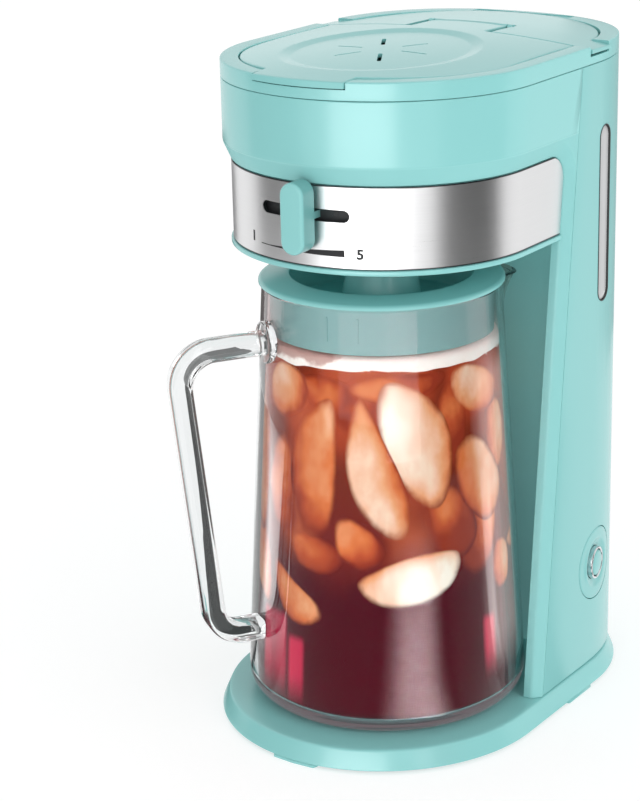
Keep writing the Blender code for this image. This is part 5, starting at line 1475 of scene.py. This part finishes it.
def teaBody(paint):
    floor = jugSpec["floorZ"] + jugSpec["floor"] + teaSpec["gap"]
    wall = jugSpec["wall"] + teaSpec["gap"]
    levels = [z for z in jugLevels(floor) if z < teaSpec["top"] - 0.001] + [teaSpec["top"] - 0.0005]
    rows = [(r, floor) for r in (0.004, 0.030)] + [(jugInner(z, wall), z) for z in levels]
    rim = jugInner(teaSpec["top"], wall)
    rows += [(rim - 0.0005, teaSpec["top"]), (rim * 0.6, teaSpec["top"]), (0.004, teaSpec["top"])]
    return Form().turned(rows, (0, jugSpec["y"], 0), 144, ring=False).object("tea", paint, 60)


teaColour = teaPaint()
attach(teaBody(teaColour), "pitcher")

# angle round the jug, height, half width, half length and lean to the left (mm and degrees); frost from
# amber to
# white; the right side's share of the width, bend, taper to the top, and the side that the light comes from
iceSpec = ((-61, 150, 14.5, 37.0, 15, 0.76, 0.80, 3, 0.18, 200),
           (-42, 161, 17.5, 34.0, 21, 0.93, 0.90, -5, -0.05, 140),
           (-46, 96, 17.5, 31.0, 104, 1.02, 0.55, 0, 0.0, 200),
           (-89, 147, 15.5, 40.0, -7, 0.50, 0.95, 4, 0.15, 60),
           (-69, 112, 12.5, 15.5, 35, 0.40, 0.85, 0, 0.25, 100),
           (-90, 104, 12.0, 17.0, 75, 0.30, 0.85, 0, 0.1, 90),
           (-101, 81, 11.0, 22.5, 50, 0.56, 0.70, 3, 0.35, 300),
           (-9, 138, 16.5, 26.5, 24, 0.66, 0.85, -3, 0.1, 20),
           (-25, 118, 16.0, 21.0, 10, 0.22, 0.90, 0, 0.1, 90),
           (-8, 184, 14.0, 19.0, 65, 0.70, 0.80, 0, 0.0, 60),
           (-108, 185, 16.0, 15.0, 50, 0.66, 0.80, 0, 0.0, 90),
           (-51, 190, 9.0, 26.0, 95, 0.40, 0.80, 0, 0.0, 90),
           (-83, 186, 11.5, 17.0, 85, 0.30, 0.80, 0, 0.0, 90), (5, 158, 10.5, 20.0, 5, 0.60, 0.80, 0, 0.0, 0),
           (4, 90, 10.0, 14.0, 0, 0.54, 0.80, 0, 0.0, 0), (-128, 145, 13.0, 40.0, 2, 0.54, 0.80, 0, 0.0, 180),
           (-124, 92, 11.0, 24.0, 10, 0.50, 0.80, 0, 0.1, 180),
           (-24, 168, 10.5, 24.0, -4, 0.24, 0.90, 0, 0.0, 90),
           (-108, 134, 13.0, 30.0, 8, 0.38, 0.90, 0, 0.1, 120),
           (-70, 180, 10.0, 17.0, -20, 0.22, 0.90, 0, 0.0, 90),
           (-10, 110, 14.0, 22.0, -14, 0.30, 0.90, 0, 0.0, 40), (38, 140, 13, 30, 20, 0.80, 0.80, 3, 0.1, 90),
           (74, 170, 12, 26, -15, 0.62, 0.70, -3, 0.1, 200), (108, 150, 14, 32, 10, 0.90, 0.70, 4, 0.1, 90),
           (145, 175, 12, 24, -20, 0.60, 0.80, 0, 0.1, 30), (176, 135, 14, 30, 15, 0.95, 0.70, -4, 0.1, 120),
           (206, 165, 12, 28, -10, 0.55, 0.80, 0, 0.1, 80), (90, 112, 12, 20, 80, 0.50, 0.50, 0, 0.1, 90),
           (150, 102, 11, 18, 60, 0.55, 0.60, 0, 0.1, 200), (22, 100, 10, 14, 100, 0.45, 0.60, 0, 0.0, 90),
           (54, 185, 9, 16, 80, 0.70, 0.80, 0, 0.0, 90), (120, 188, 8, 16, 95, 0.75, 0.80, 0, 0.0, 90),
           (186, 188, 8, 18, 88, 0.70, 0.80, 0, 0.0, 90))
iceForm = {"corners": 7, "rounds": 3, "jitter": 0.13, "front": 12, "back": 4, "thick": 0.0062, "proud": 0.00036,
           "step": 0.000009, "sunk": 0.0010, "lightDrop": 0.30, "rimDrop": 0.36}


def chance(seed):
    return (sin(seed * 12.9898) * 43758.5453) % 1.0


def lumpOutline(index):
    # a corner-cut polygon about one unit in radius, its own for each lump
    count = iceForm["corners"]
    points = []
    for k in range(count):
        a = 2 * pi * (k + 0.5 * chance(index * 17 + k)) / count
        reach = 1.10 + iceForm["jitter"] * (2 * chance(index * 31 + k + 5) - 1)
        points.append((reach * cos(a), reach * sin(a)))
    for _ in range(iceForm["rounds"]):
        cut = []
        for (a, b), (c, d) in zip(points, points[1:] + points[:1]):
            cut += [(a * 0.75 + c * 0.25, b * 0.75 + d * 0.25), (a * 0.25 + c * 0.75, b * 0.25 + d * 0.75)]
        points = cut
    return points


def icePieces(paint):
    # closed lens-shaped lumps lying against the wall, just proud of the tea
    points = []
    faces = []
    cores = []
    frostAndLightValues = []
    rings = [(k / iceForm["front"], True) for k in range(iceForm["front"] + 1)]
    rings += [(1 - k / iceForm["back"], False) for k in range(1, iceForm["back"] + 1)]
    for index, lump in enumerate(iceSpec):
        angle, level, halfWide, halfLong, lean, tone, flat, bend, taper, light = lump
        first = len(points)
        spin = radians(lean)
        outline = lumpOutline(index)
        around = len(outline)
        crisp = 0.55 + 0.5 * tone
        for share, front in rings:
            share = max(share, 0.02)
            for px, py in outline:
                u = share * halfWide * px * (flat if px > 0 else 1) * (1 - taper * py)
                v = share * halfLong * py
                u += bend * ((share * py) ** 2 - 0.4 * share)
                across = (u * cos(spin) - v * sin(spin)) * 0.001
                z = level * 0.001 + (u * sin(spin) + v * cos(spin)) * 0.001
                z = max(0.03, min(z, teaSpec["top"] - 0.0006))
                edge = max(0, (share - 0.93) / 0.07)
                drop = iceForm["sunk"] * edge * edge if front else iceForm["sunk"] + iceForm["thick"] * sqrt(max(0, 1 - share * share))
                radius = jugSide(z) - jugSpec["wall"] - teaSpec["gap"] + iceForm["proud"] - iceForm["step"] * index - drop
                turn = radians(angle) + across / radius
                points.append((radius * cos(turn), jugSpec["y"] + radius * sin(turn), z))
                cores.append((1 - share) * crisp if front else 0.0)
                # painted light: each lump is lighter on the side the light comes from and darker across from it
                lit = share * (px * cos(radians(light)) + py * sin(radians(light)))
                frostAndLightValues.append(tone - iceForm["rimDrop"] * share ** 3 + iceForm["lightDrop"] * (lit - 0.35))
        for ring in range(len(rings) - 1):
            for step in range(around):
                beside = (step + 1) % around
                here = first + ring * around
                faces.append((here + step, here + beside, here + around + beside, here + around + step))
        last = first + (len(rings) - 1) * around
        faces.append(tuple(range(first, first + around)))
        faces.append(tuple(range(last, last + around)))
    mesh = bpy.data.meshes.new("ice")
    mesh.from_pydata([(x, y + shiftY, z) for x, y, z in points], [], faces)
    for name, values in (("core", cores), ("frost", frostAndLightValues)):
        layer = mesh.attributes.new(name, "FLOAT", "POINT")
        layer.data.foreach_set("value", values)
    work = bmesh.new()
    work.from_mesh(mesh)
    bmesh.ops.recalc_face_normals(work, faces=work.faces)
    work.to_mesh(mesh)
    work.free()
    mesh.materials.append(paint)
    mesh.shade_smooth()
    return linked("ice", mesh)


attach(icePieces(teaColour), "pitcher")

foamSpec = {"foot": 0.1962, "top": 0.2036, "gap": 0.00030, "thick": 0.0030, "bubbles": 620, "small": 0.00030,
            "large": 0.00085, "seed": 4, "section": ((0, 0.3), (0.06, 0.8), (0.2, 1), (0.5, 1), (0.8, 1),
                                                     (0.95, 0.8), (1, 0.4), (1, 0), (0, 0))}


def foamPaint():
    # painted light: the foam glows faintly in its own colour
    paint = Paint("foam", {"Roughness": 0.45, "Emission Strength": 0.22, "Specular IOR Level": 0.3})
    x, y, z = paint.axes()
    froth = paint.noise(150.0, 4.0, rough=0.65)
    drift = paint.noise(30.0, 2.0)
    angle = roundJug(x, y)
    thick = paint.slide(angle, -90, -68, -0.06, 0.24)   # the froth lies thicker on the spout's side
    amount = drift + (froth - 0.5) * 0.5 + thick + paint.slide(z, foamSpec["foot"], foamSpec["top"], 0.16,
                                                               -0.16)
    white = paint.slide(amount, 0.36, 0.56)
    shade = paint.mix(white, colour(0.56, 0.36, 0.32), paint.mix(froth, colour(0.90, 0.78, 0.72),
                                                                 colour(1.0, 0.96, 0.92)))
    paint.use("Base Color", shade)
    paint.use("Emission Color", shade)
    paint.bump(froth, 0.6, 0.0012)
    return paint.material


def foamRing(paint):
    form = Form()
    loops = []
    steps = 240
    for k in range(steps):
        a = 2 * pi * k / steps
        wave = 0.0009 * sin(5 * a + 1) + 0.0006 * sin(11 * a) + 0.0004 * sin(23 * a + 2)
        loop = []
        for share, out in foamSpec["section"]:
            z = foamSpec["foot"] + wave * (1 - share) + (foamSpec["top"] - foamSpec["foot"]) * share
            wall = jugSide(z) - jugSpec["wall"] - foamSpec["gap"]
            radius = wall - foamSpec["thick"] * (1 - out) if out else wall - foamSpec["thick"] * 1.6
            loop.append((radius * cos(a), jugSpec["y"] + radius * sin(a), z))
        loops.append(loop)
    form.loft(loops, ring=True)
    return form.object("foam", paint, 70)


def bubbleTree(paint):
    # small spheres strewn round a ring at the liquid's edge
    tree = bpy.data.node_groups.new("foamBubbles", "GeometryNodeTree")
    tree.interface.new_socket("Geometry", in_out="OUTPUT", socket_type="NodeSocketGeometry")
    slots = {}
    for name, kind in (("Count", "NodeSocketInt"), ("Ring radius", "NodeSocketFloat"),
                       ("Foot", "NodeSocketFloat"), ("Rise", "NodeSocketFloat"),
                       ("Smallest", "NodeSocketFloat"), ("Largest", "NodeSocketFloat")):
        slots[name] = tree.interface.new_socket(name, in_out="INPUT", socket_type=kind).identifier
    nodes = tree.nodes

    def make(kind, settings=None, values=None):
        made = nodes.new(kind)
        for key, value in (settings or {}).items():
            setattr(made, key, value)
        for key, value in (values or {}).items():
            feed(made.inputs[key], value)
        return made

    entry = nodes.new("NodeGroupInput")
    given = {name: Wire(tree, entry.outputs[name]) for name in slots}

    def chance(low, high, seed):
        made = make("FunctionNodeRandomValue", {"data_type": "FLOAT"}, {2: low, 3: high, 8: seed})
        return Wire(tree, made.outputs[1])

    angle = chance(0.0, 2 * pi, foamSpec["seed"])
    level = chance(0.0, 1.0, foamSpec["seed"] + 1)
    size = chance(0.0, 1.0, foamSpec["seed"] + 2)
    size = size * size * size
    scale = given["Smallest"] + (given["Largest"] - given["Smallest"]) * size
    reach = given["Ring radius"] - scale
    spot = make("ShaderNodeCombineXYZ", None, {"X": reach * angle.math("COSINE"),
                                               "Y": reach * angle.math("SINE") + jugSpec["y"] + shiftY,
                                               "Z": given["Foot"] + given["Rise"] * level * level})
    cloud = make("GeometryNodePoints", None, {"Count": given["Count"], "Position": Wire(tree, spot.outputs[0])})
    ball = make("GeometryNodeMeshUVSphere", None, {"Segments": 8, "Rings": 5, "Radius": 1.0})
    strewn = make("GeometryNodeInstanceOnPoints", None, {"Points": Wire(tree, cloud.outputs[0]),
                                                         "Instance": Wire(tree, ball.outputs[0])})
    feed(strewn.inputs["Scale"], scale)
    real = make("GeometryNodeRealizeInstances", None, {0: Wire(tree, strewn.outputs[0])})
    painted = make("GeometryNodeSetMaterial", None, {"Geometry": Wire(tree, real.outputs[0])})
    painted.inputs["Material"].default_value = paint
    leave = nodes.new("NodeGroupOutput")
    tree.links.new(painted.outputs[0], leave.inputs[0])
    return tree, slots


def foamBubbles(paint):
    tree, slots = bubbleTree(paint)
    item = linked("foamBubbles", bpy.data.meshes.new("foamBubbles"))
    step = item.modifiers.new("bubbles", "NODES")
    step.node_group = tree
    wall = jugSide(foamSpec["foot"]) - jugSpec["wall"] - 0.0001
    for name, value in (("Count", foamSpec["bubbles"]), ("Ring radius", wall - 0.0004),
                        ("Foot", foamSpec["foot"] - 0.0006), ("Rise", 0.0062), ("Smallest", foamSpec["small"]),
                        ("Largest", foamSpec["large"])):
        step[slots[name]] = value
    return bake(item, 60, paint)


froth = foamPaint()
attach(foamRing(froth), "pitcher")
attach(foamBubbles(froth), "pitcher")
print("tea and ice")

# pieces inside that keep their shape

looks = {"mint_plastic": mint, "brushed_steel": steel, "chrome": chrome, "clear_plastic": jugClear,
         "dark_plastic": darkPlastic, "grey_rubber": rubber, "frosted_plastic": frosted,
         "cast_aluminium": castMetal, "silicone": silicone, "filter_mesh": weave}
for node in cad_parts:
    for slot in bpy.data.objects[node].material_slots:
        for key, look in looks.items():
            if slot.material and slot.material.name.startswith(key):
                slot.material = look
                break
print("inner pieces")

# studio

studio = {"floor": 0.50, "floorGlow": 0.60, "horizon": 0.95, "zenith": 0.74}


def floorPaint():
    tone = studio["floor"]
    paint = Paint("paleFloor", {"Specular IOR Level": 0.0, "Emission Strength": studio["floorGlow"],
                                "Emission Color": grey(1)})
    paint.use("Base Color", paint.mix(paint.noise(3.0), grey(tone), grey(tone + 0.02)))
    paint.use("Roughness", 0.7 + paint.noise(5.0) * 0.1)
    return paint.material


def sheet(name, corners, material, faces=None):
    mesh = bpy.data.meshes.new(name)
    mesh.from_pydata(corners, [], faces or [tuple(range(len(corners)))])
    mesh.materials.append(material)
    item = linked(name, mesh)
    return item


sheet("floor", [(-9, -9, 0), (9, -9, 0), (9, 9, 0), (-9, 9, 0)], floorPaint())


def makeWorld():
    # an even white room, a little darker overhead
    world = bpy.data.worlds.new("studio")
    scene.world = world
    world.use_nodes = True
    tree = world.node_tree
    back = tree.nodes["Background"]
    place = tree.nodes.new("ShaderNodeTexCoord")
    split = tree.nodes.new("ShaderNodeSeparateXYZ")
    tree.links.new(place.outputs["Generated"], split.inputs[0])
    level = tree.nodes.new("ShaderNodeMapRange")
    for key, value in (("From Min", 0.0), ("From Max", 0.9), ("To Min", studio["horizon"]),
                       ("To Max", studio["zenith"])):
        level.inputs[key].default_value = value
    tree.links.new(split.outputs[2], level.inputs[0])
    back.inputs["Color"].default_value = (1.0, 1.0, 1.0, 1.0)
    tree.links.new(level.outputs[0], back.inputs["Strength"])


makeWorld()


def lamp(name, spot, target, size, power):
    light = bpy.data.lights.new(name, "AREA")
    light.energy = power
    light.size = size
    item = linked(name, light)
    item.location = spot
    item.rotation_euler = (Vector(target) - Vector(spot)).to_track_quat("-Z", "Y").to_euler()


def reflected(item):
    # seen only in gloss and through clear pieces, as a card held outside the picture is
    item.visible_camera = False
    item.visible_diffuse = False
    item.visible_shadow = False
    return item


def cardPaint(name, shade):
    paint = Paint(name, {"Roughness": 0.9, "Specular IOR Level": 0.0})
    paint.use("Base Color", paint.mix(paint.noise(4.0), grey(shade), grey(shade * 1.1)))
    return paint.material


def glowPaint(name, strength, shape=None):
    # light alone, so a piece that it doesn't shine on sees the room through it; a shaped one is dark
    # round its light
    paint = Paint(name, {})
    share, cover = shape(paint) if shape else (1.0, 0.0)
    light = paint.node("ShaderNodeEmission", {}, {"Color": grey(1), "Strength": share * strength})
    body = paint.node("ShaderNodeMixShader", {}, {0: cover, 1: paint.node("ShaderNodeBsdfTransparent"),
                                                  2: paint.node("ShaderNodeBsdfDiffuse", {},
                                                                {"Color": grey(0)})})
    both = paint.node("ShaderNodeAddShader", {}, {0: light, 1: body})
    paint.tree.links.new(both.socket, paint.tree.nodes["Material Output"].inputs["Surface"])
    return paint.material


def shineOn(item, pieces):
    # its light reaches only these pieces
    group = bpy.data.collections.new(item.name + "Reach")
    for piece in pieces:
        group.objects.link(bpy.data.objects[piece])
    item.light_linking.receiver_collection = group


def aroundMiddle(reach, turn, level):
    # a place round the machine, by degrees from the front
    a = radians(turn)
    return (reach * sin(a), -reach * cos(a) + shiftY, level)


def card(name, azimuth, distance, spread, tall, material, foot=0.001, gloss=True, through=True):
    # an upright curved card round the machine, over a spread of degrees each side
    steps = 12
    turns = [azimuth - spread + 2 * spread * k / steps for k in range(steps + 1)]
    faces = [(k, k + 1, k + steps + 2, k + steps + 1) for k in range(steps)]
    item = sheet(name, [aroundMiddle(distance, turn, z) for z in (foot, foot + tall) for turn in turns],
                 material, faces)
    item.visible_glossy = gloss
    item.visible_transmission = through
    return reflected(item)


def glintShape(look):
    # brightest along one line that runs outwards, and fading on both sides of it
    def shape(paint):
        x, y = paint.axes()[:2]
        reach = (x * x + (y - shiftY) * (y - shiftY)).math("SQRT")
        angle = x.math("ARCTAN2", (y - shiftY) * -1) * (180 / pi)
        across = angle - (look["angle"] + (reach - 0.1) * look["drift"])
        (inLeft, inRight), (outLeft, outRight) = look["inner"], look["outer"]
        share = paint.between(across, (-outLeft, -inLeft), (inRight, outRight))
        share = share * share * paint.fade(reach, *look["fade"]) * paint.slide(reach, *look["start"])
        cover = paint.between(across, (-outLeft, 6 - outLeft), (outRight - 6, outRight))
        return share, cover * paint.fade(reach, 0.45, 0.60)
    return shape


glints = {"glintMiddle": {"glow": 54.0, "angle": 50.0, "drift": 22.0, "inner": (3, 3), "outer": (32, 28),
                          "start": (0.05, 0.13), "fade": (0.24, 0.55)},
          "glintLeft": {"glow": 8.5, "angle": -58.0, "drift": -20.0, "inner": (14, 14), "outer": (26, 18),
                        "start": (0.13, 0.30), "fade": (0.45, 0.70)},
          "glintRight": {"glow": 6.5, "angle": 112.0, "drift": 30.0, "inner": (3, 7), "outer": (7, 14),
                         "start": (0.12, 0.24), "fade": (0.40, 0.60)}}


def floorGlint(name, look):
    # a bright patch on the floor beside the machine, which the jug mirrors as one soft upright stripe
    points = []
    for reach, side in ((0.092, 1), (0.62, -1)):
        middle = look["angle"] + (reach - 0.1) * look["drift"]
        for k in range(7):
            share = k / 6 if side > 0 else 1 - k / 6
            left, right = look["outer"]
            points.append(aroundMiddle(reach, middle - left + (left + right) * share, 0.0006))
    patch = reflected(sheet(name, points, glowPaint(name, look["glow"], glintShape(look))))
    patch.visible_transmission = False
    shineOn(patch, [jug.name])


for name, look in glints.items():
    floorGlint(name, look)
lamp("key", (1.7, -0.7, 0.9), (0, 0, 0.2), 1.0, 5.6)
lamp("fill", (0.5, -1.9, 0.9), (0, 0, 0.2), 1.0, 2.5)
card("darkRight", 89.5, 0.60, 26, 0.80, cardPaint("darkRight", 0.03))
card("darkLeft", -50, 0.90, 23, 0.60, cardPaint("darkLeft", 0.06))
card("lowLeft", -131, 0.70, 20, 0.16, cardPaint("lowLeft", 0.05), through=False)
card("greyBack", 178, 0.70, 22, 0.42, cardPaint("greyBack", 0.42), through=False)
card("greyBehind", 240, 0.60, 16, 0.70, cardPaint("greyBehind", 0.22), gloss=False)
shineOn(card("brightFront", 14, 0.85, 21, 0.40, glowPaint("brightFront", 4.2)),
        [front.name, skirt.name, band.name, rim.name, tray.name, "base_cover", jug.name])
shineOn(card("brightJug", 52, 0.72, 17, 0.36, glowPaint("brightJug", 14.0), through=False), [jug.name])
shineOn(card("brightBehind", 215, 1.50, 12, 0.26, glowPaint("brightBehind", 0.32), foot=0.42, through=False),
        ["frontLid", "rearLid"])
greyFloor = [aroundMiddle(reach, turn, 0.0008) for reach, turn in
             ((0.098, 236), (0.34, 240), (0.60, 238), (0.60, 250), (0.60, 264), (0.34, 270), (0.098, 284))]
reflected(sheet("greyFloor", greyFloor, cardPaint("greyFloor", 0.09))).visible_glossy = False


cameraSpec = {"yaw": 34.66, "pitch": 18.44, "roll": -1.35, "lens": 102.39, "sensor": 36,
              "place": (0.59005, -0.91165, 0.52593)}


def makeCamera():
    yaw, pitch, roll = (radians(cameraSpec[key]) for key in ("yaw", "pitch", "roll"))
    ahead = Vector((-sin(yaw) * cos(pitch), cos(yaw) * cos(pitch), -sin(pitch)))
    right = Vector((cos(yaw), sin(yaw), 0))
    up = right.cross(ahead)
    across = right * cos(roll) + up * sin(roll)
    upward = up * cos(roll) - right * sin(roll)
    lens = bpy.data.cameras.new("camera")
    lens.lens = cameraSpec["lens"]
    lens.sensor_width = cameraSpec["sensor"]
    item = linked("camera", lens)
    turn = Matrix((across, upward, -ahead)).transposed().to_4x4()
    x, y, z = cameraSpec["place"]
    item.matrix_world = Matrix.Translation((x, y + shiftY, z)) @ turn
    scene.camera = item


makeCamera()
scene.view_settings.view_transform = "Standard"
print("studio")
